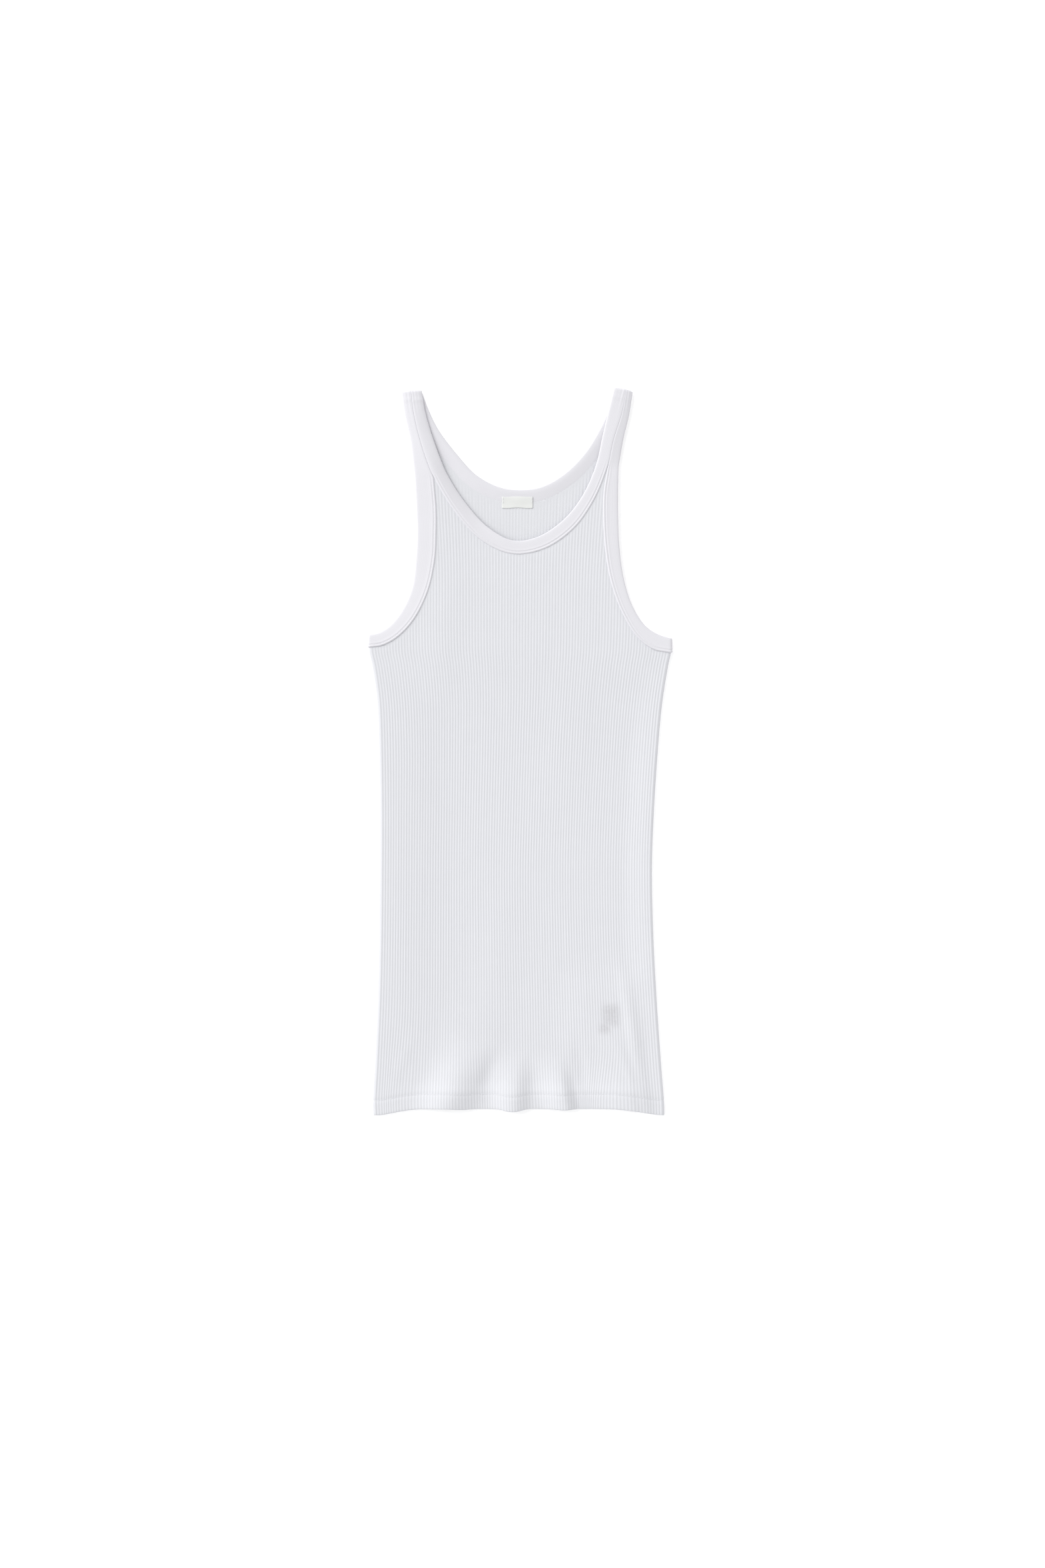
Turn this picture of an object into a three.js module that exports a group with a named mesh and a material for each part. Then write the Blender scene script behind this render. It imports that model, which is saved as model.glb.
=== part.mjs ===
// A rib-knit tank top laid flat with its front up, in millimetres.
// +X points to the wearer's left, +Y to the shoulders and +Z up from the surface it lies on.
// The origin is on that surface, under the middle of the garment.
import * as THREE from "three";

// Cloth and seams
const CLOTH = 1.0;
const HEM_CLOTH = 2.0;
const HEM_HEIGHT = 14;
const HEM_STEP = 0.6;
const SEAM_GAP = 0.3;
const RIB_COUNT = 104;
const RIB_HEIGHT = 0.5;

// Binding: a strip folded over the raw edge, so three layers thick
const BINDING = 2.4;
const LAYER_GAP = 0.6;
const FRONT_BASE = BINDING + LAYER_GAP;
const FOLD_HEIGHT = FRONT_BASE + BINDING;
const PANEL_IN_BINDING = 1.7;
const YOKE_LEVEL = FRONT_BASE + PANEL_IN_BINDING;

// Round fold down each side of the body, half of it on each panel
const FOLD_RADIUS = (FOLD_HEIGHT - SEAM_GAP) / 2;
const FOLD_ARC = (FOLD_RADIUS * Math.PI) / 2;
const BULGE_REACH = 24;
const BODY_HALF = 137;

// Half-outline of the flat body, then the fan of its ribs above the underarms
const SIDES = [
  { y: -341, left: -137.5, right: 135.5 },
  { y: -327, left: -138.0, right: 135.0 },
  { y: -296, left: -136.2, right: 132.5 },
  { y: -233, left: -133.3, right: 128.2 },
  { y: -171, left: -131.9, right: 125.0 },
  { y: -108, left: -131.3, right: 123.8 },
  { y: -46, left: -131.3, right: 126.2 },
  { y: 17, left: -132.4, right: 130.6 },
  { y: 48, left: -133.9, right: 133.8 },
  { y: 79, left: -138.2, right: 138.8 },
  { y: 95, left: -141.6, right: 142.0 },
  { y: 180, left: -155.5, right: 158.0 },
  { y: 340, left: -182.0, right: 189.0 },
];

// Lower edge of the hem: its corners drop, and it dips under the crests of the folds
const HEM_Y = -335.2;
const CORNER_DROP = 6;
const CORNER_START = 88;
const CORNER_END = 137;
const HEM_DIPS = [
  { x: -55, half: 14, drop: 0.7 },
  { x: -7, half: 17, drop: 2.6 },
  { x: 41, half: 15, drop: 1.0 },
];

// Height of the front's outer face, from the hem up to the shoulders
const LEVELS = [
  { y: -342, z: 4.4 },
  { y: -320, z: 4.3 },
  { y: -310, z: 3.3 },
  { y: -235, z: 2.6 },
  { y: -20, z: 2.6 },
  { y: 50, z: 3.6 },
  { y: 96, z: YOKE_LEVEL },
  { y: 345, z: YOKE_LEVEL },
];

// Soft folds that rise from the front's hem; lean is how far a crest moves in X for each mm of Y
const HEM_FOLDS = [
  { x: -62, half: 34, rise: 2.0, reach: 92, lean: 0.42 },
  { x: -8, half: 22, rise: 2.0, reach: 62, lean: 0.02 },
  { x: 40, half: 21, rise: 2.0, reach: 74, lean: -0.04 },
  { x: 100, half: 36, rise: 1.7, reach: 84, lean: -0.1 },
];

// Places where the front stands a little higher: the left strap, and over the care label
const SWELLS = [
  { x: -84, y: 232, flatX: 4, flatY: 24, fade: 44, rise: 1.1 },
  { x: 92, y: -250, flatX: 34, flatY: 21, fade: 20, rise: 1.1 },
];

// Neckline of the front from the left shoulder to the right one: free edge, then stitched edge
const NECK_FRONT = [
  { freeX: -91.6, freeY: 335.8, seamX: -101.5, seamY: 335.4 },
  { freeX: -89.0, freeY: 319.4, seamX: -99.4, seamY: 317.3 },
  { freeX: -82.6, freeY: 296.8, seamX: -93.9, seamY: 293.4 },
  { freeX: -73.4, freeY: 271.3, seamX: -85.1, seamY: 266.4 },
  { freeX: -68.9, freeY: 261.0, seamX: -80.3, seamY: 255.8 },
  { freeX: -52.5, freeY: 234.8, seamX: -62.8, seamY: 226.4 },
  { freeX: -29.2, freeY: 209.1, seamX: -37.8, seamY: 198.4 },
  { freeX: -5.8, freeY: 197.0, seamX: -8.0, seamY: 184.5 },
  { freeX: 17.5, freeY: 200.9, seamX: 22.5, seamY: 189.0 },
  { freeX: 40.8, freeY: 216.4, seamX: 50.0, seamY: 207.6 },
  { freeX: 58.4, freeY: 238.6, seamX: 68.8, seamY: 233.6 },
  { freeX: 71.2, freeY: 267.4, seamX: 81.7, seamY: 264.6 },
  { freeX: 77.5, freeY: 294.7, seamX: 87.9, seamY: 292.0 },
  { freeX: 82.6, freeY: 316.6, seamX: 95.2, seamY: 314.8 },
  { freeX: 88.2, freeY: 338.6, seamX: 99.6, seamY: 336.4 },
];
const NECK_FRONT_TIPS = { left: 4, right: 11 };

// Neckline of the back, from the left shoulder to the right one
const NECK_BACK = [
  { freeX: -91.6, freeY: 335.8, seamX: -101.5, seamY: 335.4 },
  { freeX: -84.9, freeY: 318.0, seamX: -95.9, seamY: 313.6 },
  { freeX: -76.8, freeY: 301.6, seamX: -86.8, seamY: 293.6 },
  { freeX: -60.0, freeY: 279.1, seamX: -69.6, seamY: 270.6 },
  { freeX: -40.8, freeY: 258.6, seamX: -48.2, seamY: 248.1 },
  { freeX: -19.0, freeY: 247.4, seamX: -22.4, seamY: 235.0 },
  { freeX: 0.0, freeY: 245.0, seamX: 0.0, seamY: 232.2 },
  { freeX: 19.0, freeY: 247.4, seamX: 22.4, seamY: 235.0 },
  { freeX: 40.8, freeY: 259.3, seamX: 48.0, seamY: 248.8 },
  { freeX: 60.6, freeY: 279.1, seamX: 70.2, seamY: 270.6 },
  { freeX: 75.2, freeY: 302.6, seamX: 85.9, seamY: 295.8 },
  { freeX: 82.2, freeY: 318.6, seamX: 93.4, seamY: 314.8 },
  { freeX: 88.2, freeY: 338.6, seamX: 99.6, seamY: 336.4 },
];
const NECK_BACK_TIPS = { left: 2, right: 10 };

// Free edge of each armhole down the strap, one row for each neckline row from shoulder to tip
const STRAP_EDGES = {
  leftFront: [
    { x: -110.4, y: 335.1 },
    { x: -107.9, y: 315.6 },
    { x: -102.8, y: 292.4 },
    { x: -99.6, y: 267.4 },
    { x: -98.4, y: 256.0 },
  ],
  leftBack: [
    { x: -110.4, y: 335.1 },
    { x: -104.6, y: 311.0 },
    { x: -99.4, y: 291.0 },
  ],
  rightFront: [
    { x: 105.7, y: 335.2 },
    { x: 102.2, y: 313.6 },
    { x: 97.0, y: 292.0 },
    { x: 92.4, y: 265.6 },
  ],
  rightBack: [
    { x: 105.7, y: 335.2 },
    { x: 100.6, y: 312.4 },
    { x: 95.0, y: 292.6 },
  ],
};

// Rest of each armhole, from the tip of the panel to the underarm
const ARMHOLES = {
  leftFront: [
    { freeX: -96.9, freeY: 228.0, seamX: -78.1, seamY: 227.0 },
    { freeX: -96.2, freeY: 204.1, seamX: -78.1, seamY: 204.0 },
    { freeX: -97.3, freeY: 181.0, seamX: -79.3, seamY: 180.0 },
    { freeX: -101.2, freeY: 152.0, seamX: -86.0, seamY: 149.6 },
    { freeX: -111.9, freeY: 129.1, seamX: -99.2, seamY: 123.0 },
    { freeX: -122.5, freeY: 116.8, seamX: -114.8, seamY: 106.4 },
    { freeX: -132.0, freeY: 110.9, seamX: -128.6, seamY: 98.9 },
    { freeX: -140.4, freeY: 108.9, seamX: -140.4, seamY: 97.0 },
  ],
  leftBack: [
    { freeX: -97.0, freeY: 268.0, seamX: -84.3, seamY: 270.0 },
    { freeX: -95.4, freeY: 228.0, seamX: -82.4, seamY: 228.0 },
    { freeX: -95.6, freeY: 186.0, seamX: -82.8, seamY: 184.0 },
    { freeX: -99.9, freeY: 154.0, seamX: -87.6, seamY: 149.6 },
    { freeX: -110.6, freeY: 130.4, seamX: -100.0, seamY: 123.0 },
    { freeX: -121.6, freeY: 117.8, seamX: -114.8, seamY: 106.8 },
    { freeX: -131.6, freeY: 111.3, seamX: -128.4, seamY: 99.1 },
    { freeX: -140.4, freeY: 108.9, seamX: -140.4, seamY: 97.0 },
  ],
  rightFront: [
    { freeX: 91.9, freeY: 243.0, seamX: 78.4, seamY: 243.0 },
    { freeX: 92.0, freeY: 220.0, seamX: 77.9, seamY: 219.9 },
    { freeX: 93.1, freeY: 193.0, seamX: 79.3, seamY: 193.6 },
    { freeX: 97.0, freeY: 163.0, seamX: 84.2, seamY: 162.0 },
    { freeX: 105.2, freeY: 136.4, seamX: 94.2, seamY: 132.6 },
    { freeX: 117.2, freeY: 117.6, seamX: 109.8, seamY: 106.6 },
    { freeX: 129.0, freeY: 109.6, seamX: 125.4, seamY: 95.0 },
    { freeX: 140.4, freeY: 105.8, seamX: 140.4, seamY: 92.0 },
  ],
  rightBack: [
    { freeX: 91.6, freeY: 266.0, seamX: 79.6, seamY: 268.4 },
    { freeX: 90.5, freeY: 228.0, seamX: 77.8, seamY: 228.0 },
    { freeX: 91.8, freeY: 192.0, seamX: 79.0, seamY: 191.4 },
    { freeX: 96.0, freeY: 162.0, seamX: 84.0, seamY: 159.0 },
    { freeX: 104.4, freeY: 137.0, seamX: 94.4, seamY: 130.6 },
    { freeX: 116.2, freeY: 118.4, seamX: 109.4, seamY: 107.6 },
    { freeX: 128.4, freeY: 110.0, seamX: 125.0, seamY: 96.0 },
    { freeX: 140.4, freeY: 105.8, seamX: 140.4, seamY: 92.0 },
  ],
};

// Section of a binding: share of its width from the free edge, and height from its inner face
const BINDING_SECTION = [
  { across: 0.0, up: 0.7 },
  { across: 0.07, up: 0.0 },
  { across: 1.0, up: 0.0 },
  { across: 1.0, up: 2.3 },
  { across: 0.83, up: 2.4 },
  { across: 0.78, up: 1.95 },
  { across: 0.72, up: 2.3 },
  { across: 0.07, up: 2.4 },
  { across: 0.0, up: 1.7 },
];
const STEPS_PER_ROW = 2;
const FOLD_STEPS = 5;
const SHOULDER = { left: { x: -0.067, y: 0.998 }, right: { x: 0.193, y: 0.981 } };
const SIDE = { left: { x: -1, y: 0 }, right: { x: 1, y: 0 } };

// Rows of a panel: heights above the hem's edge, then shares of the way on to its upper edge
const FRONT_ROWS = [0, HEM_HEIGHT - HEM_STEP, HEM_HEIGHT + HEM_STEP, 34, 62, 100, 160, 240, 320, 380];
const BACK_ROWS = [0, HEM_HEIGHT - HEM_STEP, HEM_HEIGHT + HEM_STEP, 90, 200, 320, 380];
const UPPER_SHARES = [1 / 3, 2 / 3, 1];
const STEEP = 5;
const LEAST_COLUMN_SHARE = 0.15;
const SAME_PLACE = 0.0004;
const BACK_COLUMNS = 44;
const INNER_SKIP = 6;
const INNER_SAG = 0.3;
const FOLD_COLUMN_SHARE = 0.05;
const FOLD_PLACES = [0.35, 0.7, 1].map((share) => 1 - (share * FOLD_ARC) / BODY_HALF);

// Labels
const NECK_LABEL = { x: -2.3, width: 29, top: 238.8, bend: 231.4, bottom: 227.8, high: 2.7, low: 1.5, cloth: 1.0 };
const CARE_LABEL = { x: 92, y: -250.5, length: 61, width: 34, cloth: 1.0 };

const clamp01 = (value) => Math.min(1, Math.max(0, value));

function smoothStep(from, to, value) {
  const t = clamp01((value - from) / (to - from));
  return t * t * (3 - 2 * t);
}

// One or no crest: 1 at the middle, 0 from half away
function bell(distance, half) {
  const t = clamp01(Math.abs(distance) / half);
  return 0.5 + 0.5 * Math.cos(Math.PI * t);
}

// A smooth function of y through a table's rows, as cubic pieces
function throughRows(rows, key) {
  const slope = rows.map((row, i) => {
    const before = rows[Math.max(0, i - 1)];
    const after = rows[Math.min(rows.length - 1, i + 1)];
    return (after[key] - before[key]) / (after.y - before.y);
  });
  return (y) => {
    let i = 0;
    while (i < rows.length - 2 && y > rows[i + 1].y) i++;
    const span = rows[i + 1].y - rows[i].y;
    const t = clamp01((y - rows[i].y) / span);
    const a = 2 * t ** 3 - 3 * t ** 2 + 1;
    const b = t ** 3 - 2 * t ** 2 + t;
    const c = 3 * t ** 2 - 2 * t ** 3;
    const d = t ** 3 - t ** 2;
    return a * rows[i][key] + b * span * slope[i] + c * rows[i + 1][key] + d * span * slope[i + 1];
  };
}

const leftSide = throughRows(SIDES, "left");
const rightSide = throughRows(SIDES, "right");
const levelAt = throughRows(LEVELS, "z");

function hemLine(x) {
  const corner = CORNER_DROP * smoothStep(CORNER_START, CORNER_END, Math.abs(x));
  const dips = HEM_DIPS.reduce((sum, dip) => sum + dip.drop * bell(x - dip.x, dip.half), 0);
  return HEM_Y - corner - dips;
}

// Height of the front's outer face away from the side folds
function frontLevel(x, y) {
  let z = levelAt(y);
  for (const fold of HEM_FOLDS) {
    const above = y - HEM_Y;
    const fade = 1 - smoothStep(0, fold.reach, above);
    z += fold.rise * fade * bell(x - fold.x - fold.lean * above, fold.half);
  }
  for (const swell of SWELLS) {
    const acrossX = 1 - smoothStep(swell.flatX, swell.flatX + swell.fade, Math.abs(x - swell.x));
    const acrossY = 1 - smoothStep(swell.flatY, swell.flatY + swell.fade, Math.abs(y - swell.y));
    z += swell.rise * acrossX * acrossY;
  }
  return z;
}

// The body from one side seam to the other: place runs from -1 at the left seam to 1 at the right
function middleAndHalf(y) {
  const left = leftSide(y);
  const right = rightSide(y);
  return { middle: (left + right) / 2, half: (right - left) / 2 };
}

function placeOf(x, y) {
  const { middle, half } = middleAndHalf(y);
  const fromSeam = half - FOLD_RADIUS - Math.abs(x - middle) + FOLD_ARC;
  return Math.sign(x - middle) * (1 - fromSeam / (half - FOLD_RADIUS + FOLD_ARC));
}

// Where a place lies in plan, and how far round the side fold it is
function acrossBody(place, y) {
  const { middle, half } = middleAndHalf(y);
  const fromSeam = (1 - Math.abs(place)) * (half - FOLD_RADIUS + FOLD_ARC);
  const side = place < 0 ? -1 : 1;
  const turn = Math.min(fromSeam / FOLD_RADIUS, Math.PI / 2);
  const inward = Math.max(0, fromSeam - FOLD_ARC);
  return { side, turn, inward, centre: middle + side * (half - FOLD_RADIUS), middle };
}

function ribAt(place) {
  const phase = ((place + 1) / 2) * RIB_COUNT;
  const share = phase - Math.floor(phase);
  return RIB_HEIGHT * (1 - Math.abs(2 * share - 1));
}

// A point of the front wall: depth 0 is its outer face, and depth is measured into the cloth
function frontPoint(place, y, depth) {
  const { side, turn, inward, centre } = acrossBody(place, y);
  const raised = depth > 0 ? -depth : ribAt(place);
  const radius = FOLD_RADIUS + raised;
  const x = centre + side * (radius * Math.cos(turn) - inward);
  if (turn < Math.PI / 2) {
    return new THREE.Vector3(x, y, FOLD_HEIGHT - FOLD_RADIUS + radius * Math.sin(turn));
  }
  const bulge = 1 - smoothStep(0, BULGE_REACH, inward);
  const level = frontLevel(x, y);
  return new THREE.Vector3(x, y, level + (FOLD_HEIGHT - level) * bulge + raised);
}

// A point of the back wall, which lies on the surface
function backPoint(place, y, depth) {
  const { side, turn, inward, centre } = acrossBody(place, y);
  const radius = FOLD_RADIUS - depth;
  const x = centre + side * (radius * Math.cos(turn) - inward);
  return new THREE.Vector3(x, y, FOLD_RADIUS - radius * Math.sin(turn));
}

// Turns a soup of points and triangles into a closed geometry that faces out
function closedGeometry(points, triangles) {
  let volume = 0;
  const cross = new THREE.Vector3();
  for (const [a, b, c] of triangles) {
    volume += points[a].dot(cross.crossVectors(points[b], points[c]));
  }
  const index = triangles.flatMap(([a, b, c]) => (volume > 0 ? [a, b, c] : [a, c, b]));
  const geometry = new THREE.BufferGeometry().setFromPoints(points);
  geometry.setIndex(index);
  geometry.computeVertexNormals();
  return geometry;
}

// Samples a table of paired edge points as smooth curves
function pairedEdges(rows) {
  const free = new THREE.CatmullRomCurve3(rows.map((r) => new THREE.Vector3(r.freeX, r.freeY, 0)));
  const seam = new THREE.CatmullRomCurve3(rows.map((r) => new THREE.Vector3(r.seamX, r.seamY, 0)));
  const count = (rows.length - 1) * STEPS_PER_ROW;
  return Array.from({ length: count + 1 }, (_, i) => ({
    free: free.getPoint(i / count),
    seam: seam.getPoint(i / count),
  }));
}

function movedPastSeam(ring, distance) {
  const away = ring.seam.clone().sub(ring.free).normalize();
  return ring.seam.clone().addScaledVector(away, distance);
}

// The armhole strip shares the strap with the neck strip, then leaves it at the panel's tip
function armholeEdges(neckRings, strapRows, armRows) {
  const edge = new THREE.CatmullRomCurve3(strapRows.map((r) => new THREE.Vector3(r.x, r.y, 0)));
  const count = neckRings.length - 1;
  const strap = neckRings.map((ring, i) => ({
    free: edge.getPoint(i / count),
    seam: movedPastSeam(ring, SEAM_GAP),
  }));
  const tip = strap[count];
  const tipRow = { freeX: tip.free.x, freeY: tip.free.y, seamX: tip.seam.x, seamY: tip.seam.y };
  const rest = pairedEdges([tipRow, ...armRows]);
  return { rings: [...strap, ...rest.slice(1)], tip: count };
}

// Points of one ring across a binding; flip is true on the back, whose outer face is down
function flatRing(ring, flip) {
  const middle = ring.free.clone().lerp(ring.seam, 0.5);
  const base = flip ? BINDING : frontLevel(middle.x, middle.y) - PANEL_IN_BINDING;
  return BINDING_SECTION.map(({ across, up }) => {
    const point = ring.free.clone().lerp(ring.seam, across);
    point.z = flip ? base - up : base + up;
    return point;
  });
}

// Rings that carry a binding over a fold, from the front layer round to the back layer
function foldRings(ring, outward) {
  const rings = [];
  for (let i = 1; i < FOLD_STEPS; i++) {
    const angle = (Math.PI * i) / FOLD_STEPS;
    rings.push(
      BINDING_SECTION.map(({ across, up }) => {
        const radius = LAYER_GAP / 2 + up;
        const point = ring.free.clone().lerp(ring.seam, across);
        point.x += outward.x * radius * Math.sin(angle);
        point.y += outward.y * radius * Math.sin(angle);
        point.z = FOLD_HEIGHT / 2 + radius * Math.cos(angle);
        return point;
      }),
    );
  }
  return rings;
}

// A closed loop of binding: front rings, a fold, back rings and a fold
function bindingLoop(frontRings, backRings, firstFold, lastFold) {
  const rings = [
    ...frontRings.map((ring) => flatRing(ring, false)),
    ...foldRings(frontRings[frontRings.length - 1], firstFold),
    ...backRings.map((ring) => flatRing(ring, true)),
    ...foldRings(backRings[backRings.length - 1], lastFold).reverse(),
  ];
  const across = BINDING_SECTION.length;
  const triangles = [];
  for (let i = 0; i < rings.length; i++) {
    const here = i * across;
    const next = ((i + 1) % rings.length) * across;
    for (let k = 0; k < across; k++) {
      const other = (k + 1) % across;
      triangles.push([here + k, next + k, next + other], [here + k, next + other, here + other]);
    }
  }
  return closedGeometry(rings.flat(), triangles);
}

// The stitched edge of a run of rings, moved square to itself, away from the free edge
function besideSeam(rings, distance) {
  return rings.map((ring, i) => {
    const before = rings[Math.max(0, i - 1)].seam;
    const after = rings[Math.min(rings.length - 1, i + 1)].seam;
    const along = after.clone().sub(before).normalize();
    const square = new THREE.Vector3(-along.y, along.x, 0);
    const away = Math.sign(square.dot(ring.seam.clone().sub(ring.free)));
    return ring.seam.clone().addScaledVector(square, away * distance);
  });
}

// Upper edge of a panel: the stitched edges of its bindings, a seam's gap away
function upperEdge(leftArm, neckRings, rightArm) {
  const lines = [leftArm.rings.slice(leftArm.tip), neckRings, rightArm.rings.slice(rightArm.tip)]
    .map((rings) => besideSeam(rings, SEAM_GAP))
    .map((line) => line.map((point) => ({ place: placeOf(point.x, point.y), y: point.y })));
  const [left, , right] = lines;
  left.push({ place: -1, y: left[left.length - 1].y });
  right.push({ place: 1, y: right[right.length - 1].y });
  return lines;
}

// The first edge that a rib at this place meets on its way up
function topOf(place, lines) {
  let top = Infinity;
  for (const line of lines) {
    for (let i = 0; i < line.length - 1; i++) {
      const [a, b] = [line[i], line[i + 1]];
      const low = Math.min(a.place, b.place);
      const high = Math.max(a.place, b.place);
      if (place < low || place > high) continue;
      const share = high - low < 1e-9 ? 0 : (place - a.place) / (b.place - a.place);
      top = Math.min(top, a.y + (b.y - a.y) * clamp01(share));
    }
  }
  return top;
}

// Evenly spaced places, with more where the upper edge is steep and any that are asked for
function columnPlaces(count, lines, asked = []) {
  const pitch = 2 / count;
  const places = Array.from({ length: count + 1 }, (_, i) => -1 + i * pitch);
  const added = asked.flatMap((place) => [-place, place]);
  for (const point of lines.flat()) {
    const below = Math.floor((point.place + 1) / pitch);
    if (below < 0 || below >= count) continue;
    const rise = Math.abs(topOf(places[below], lines) - topOf(places[below + 1], lines));
    const nearest = Math.min(point.place - places[below], places[below + 1] - point.place);
    if (rise > STEEP && nearest > LEAST_COLUMN_SHARE * pitch) added.push(point.place);
  }
  const sorted = [...places, ...added].sort((a, b) => a - b);
  return sorted.filter((place, i) => i === 0 || place - sorted[i - 1] > SAME_PLACE);
}

// Tops of the columns, lowered where the straight edge between two would cross a binding's corner
function columnTops(places, lines) {
  const tops = places.map((place) => topOf(place, lines));
  const lowered = [...tops];
  for (const point of lines.flat()) {
    const i = places.findIndex((place) => place > point.place) - 1;
    if (i < 0) continue;
    const share = (point.place - places[i]) / (places[i + 1] - places[i]);
    const over = tops[i] + (tops[i + 1] - tops[i]) * share - point.y;
    const isTop = topOf(point.place, lines) > point.y - 1e-6;
    if (over <= 0 || !isTop) continue;
    lowered[i] = Math.min(lowered[i], tops[i] - over);
    lowered[i + 1] = Math.min(lowered[i + 1], tops[i + 1] - over);
  }
  return lowered;
}

// Which columns the plain inner face keeps: all in the side folds, fewer where the edge is straight
function innerColumns(places, tops) {
  const kept = [0];
  for (let i = 1; i < places.length - 1; i++) {
    const last = kept[kept.length - 1];
    const inFold = 1 - Math.abs(places[i]) < FOLD_COLUMN_SHARE;
    const slope = (tops[i + 1] - tops[last]) / (places[i + 1] - places[last]);
    const offChord = tops
      .slice(last + 1, i + 1)
      .some((top, k) => Math.abs(tops[last] + slope * (places[last + 1 + k] - places[last]) - top) > INNER_SAG);
    if (inFold || i - last >= INNER_SKIP || offChord) kept.push(i);
  }
  return [...kept, places.length - 1];
}

// Row heights of one column, from the hem's edge to its top
function columnLevels(place, top, rowHeights) {
  const { centre, side, inward } = acrossBody(place, HEM_Y);
  const hem = hemLine(centre - side * inward);
  const lower = rowHeights.map((height) => hem + height);
  const start = lower[lower.length - 1];
  return [...lower, ...UPPER_SHARES.map((share) => start + (top - start) * share)];
}

// A wall of cloth from its hem to its upper edge, with a fine outer face and a plain inner one
function panelWall(places, lines, rowHeights, pointAt) {
  const tops = columnTops(places, lines);
  const rows = rowHeights.length + UPPER_SHARES.length;
  const inner = innerColumns(places, tops);
  const innerPlaces = inner.map((i) => places[i]);
  const innerTops = columnTops(innerPlaces, lines);
  const points = [];
  const outerIndex = (i, j) => i * rows + j;
  const innerIndex = (m, j) => places.length * rows + m * rows + j;
  places.forEach((place, i) => {
    for (const y of columnLevels(place, tops[i], rowHeights)) points.push(pointAt(place, y, 0));
  });
  innerPlaces.forEach((place, m) => {
    columnLevels(place, innerTops[m], rowHeights).forEach((y, j) => {
      points.push(pointAt(place, y, rowHeights[j] < HEM_HEIGHT ? HEM_CLOTH : CLOTH));
    });
  });
  const triangles = [];
  const quad = (a, b, c, d) => triangles.push([a, b, c], [a, c, d]);
  for (let i = 0; i < places.length - 1; i++) {
    for (let j = 0; j < rows - 1; j++) {
      quad(outerIndex(i, j), outerIndex(i + 1, j), outerIndex(i + 1, j + 1), outerIndex(i, j + 1));
    }
  }
  for (let m = 0; m < inner.length - 1; m++) {
    for (let j = 0; j < rows - 1; j++) {
      quad(innerIndex(m, j), innerIndex(m, j + 1), innerIndex(m + 1, j + 1), innerIndex(m + 1, j));
    }
    const [first, last] = [inner[m], inner[m + 1]];
    const top = rows - 1;
    for (let i = first; i < last; i++) {
      triangles.push([innerIndex(m, 0), outerIndex(i + 1, 0), outerIndex(i, 0)]);
      triangles.push([innerIndex(m, top), outerIndex(i, top), outerIndex(i + 1, top)]);
    }
    triangles.push([innerIndex(m, 0), innerIndex(m + 1, 0), outerIndex(last, 0)]);
    triangles.push([innerIndex(m, top), outerIndex(last, top), innerIndex(m + 1, top)]);
  }
  const lastColumn = places.length - 1;
  const lastInner = inner.length - 1;
  for (let j = 0; j < rows - 1; j++) {
    quad(outerIndex(0, j), outerIndex(0, j + 1), innerIndex(0, j + 1), innerIndex(0, j));
    const [a, b] = [outerIndex(lastColumn, j), outerIndex(lastColumn, j + 1)];
    quad(a, innerIndex(lastInner, j), innerIndex(lastInner, j + 1), b);
  }
  return closedGeometry(points, triangles);
}

// The neck label: a small satin piece over the stitched edge of the back neckline
function neckLabelGeometry() {
  const { x, width, top, bend, bottom, high, low, cloth } = NECK_LABEL;
  const section = new THREE.Shape([
    new THREE.Vector2(top, high),
    new THREE.Vector2(top, high + cloth),
    new THREE.Vector2(bend, high + cloth),
    new THREE.Vector2(bottom, low + cloth),
    new THREE.Vector2(bottom, low),
    new THREE.Vector2(bend, high),
  ]);
  const geometry = new THREE.ExtrudeGeometry(section, { depth: width, bevelEnabled: false });
  geometry.deleteAttribute("normal");
  geometry.deleteAttribute("uv");
  const yzToRow = new THREE.Matrix4().set(0, 0, 1, x - width / 2, 1, 0, 0, 0, 0, 1, 0, 0, 0, 0, 0, 1);
  return geometry.applyMatrix4(yzToRow);
}

const cottonRib = new THREE.MeshStandardMaterial({ color: 0xf2f2f6, roughness: 0.9, metalness: 0 });
const cottonJersey = new THREE.MeshStandardMaterial({ color: 0xf4f4f8, roughness: 0.85, metalness: 0 });
const satin = new THREE.MeshStandardMaterial({ color: 0xf3f4f0, roughness: 0.5, metalness: 0 });

const garment = new THREE.Group();

function addPiece(name, geometry, material) {
  const mesh = new THREE.Mesh(geometry, material);
  mesh.name = name;
  garment.add(mesh);
  return mesh;
}

// Bindings: each strip's front rings run from a shoulder, and its back rings return to one
const neckFront = pairedEdges(NECK_FRONT);
const neckBack = pairedEdges(NECK_BACK);

function strapPart(neckRings, tips, side) {
  if (side === "left") return neckRings.slice(0, tips.left * STEPS_PER_ROW + 1);
  return neckRings.slice(tips.right * STEPS_PER_ROW).reverse();
}

function armholeSide(side) {
  return {
    front: armholeEdges(
      strapPart(neckFront, NECK_FRONT_TIPS, side),
      STRAP_EDGES[side + "Front"],
      ARMHOLES[side + "Front"],
    ),
    back: armholeEdges(
      strapPart(neckBack, NECK_BACK_TIPS, side),
      STRAP_EDGES[side + "Back"],
      ARMHOLES[side + "Back"],
    ),
  };
}

const arms = { left: armholeSide("left"), right: armholeSide("right") };
const frontEdge = upperEdge(arms.left.front, neckFront, arms.right.front);
const backEdge = upperEdge(arms.left.back, neckBack, arms.right.back);

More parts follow.
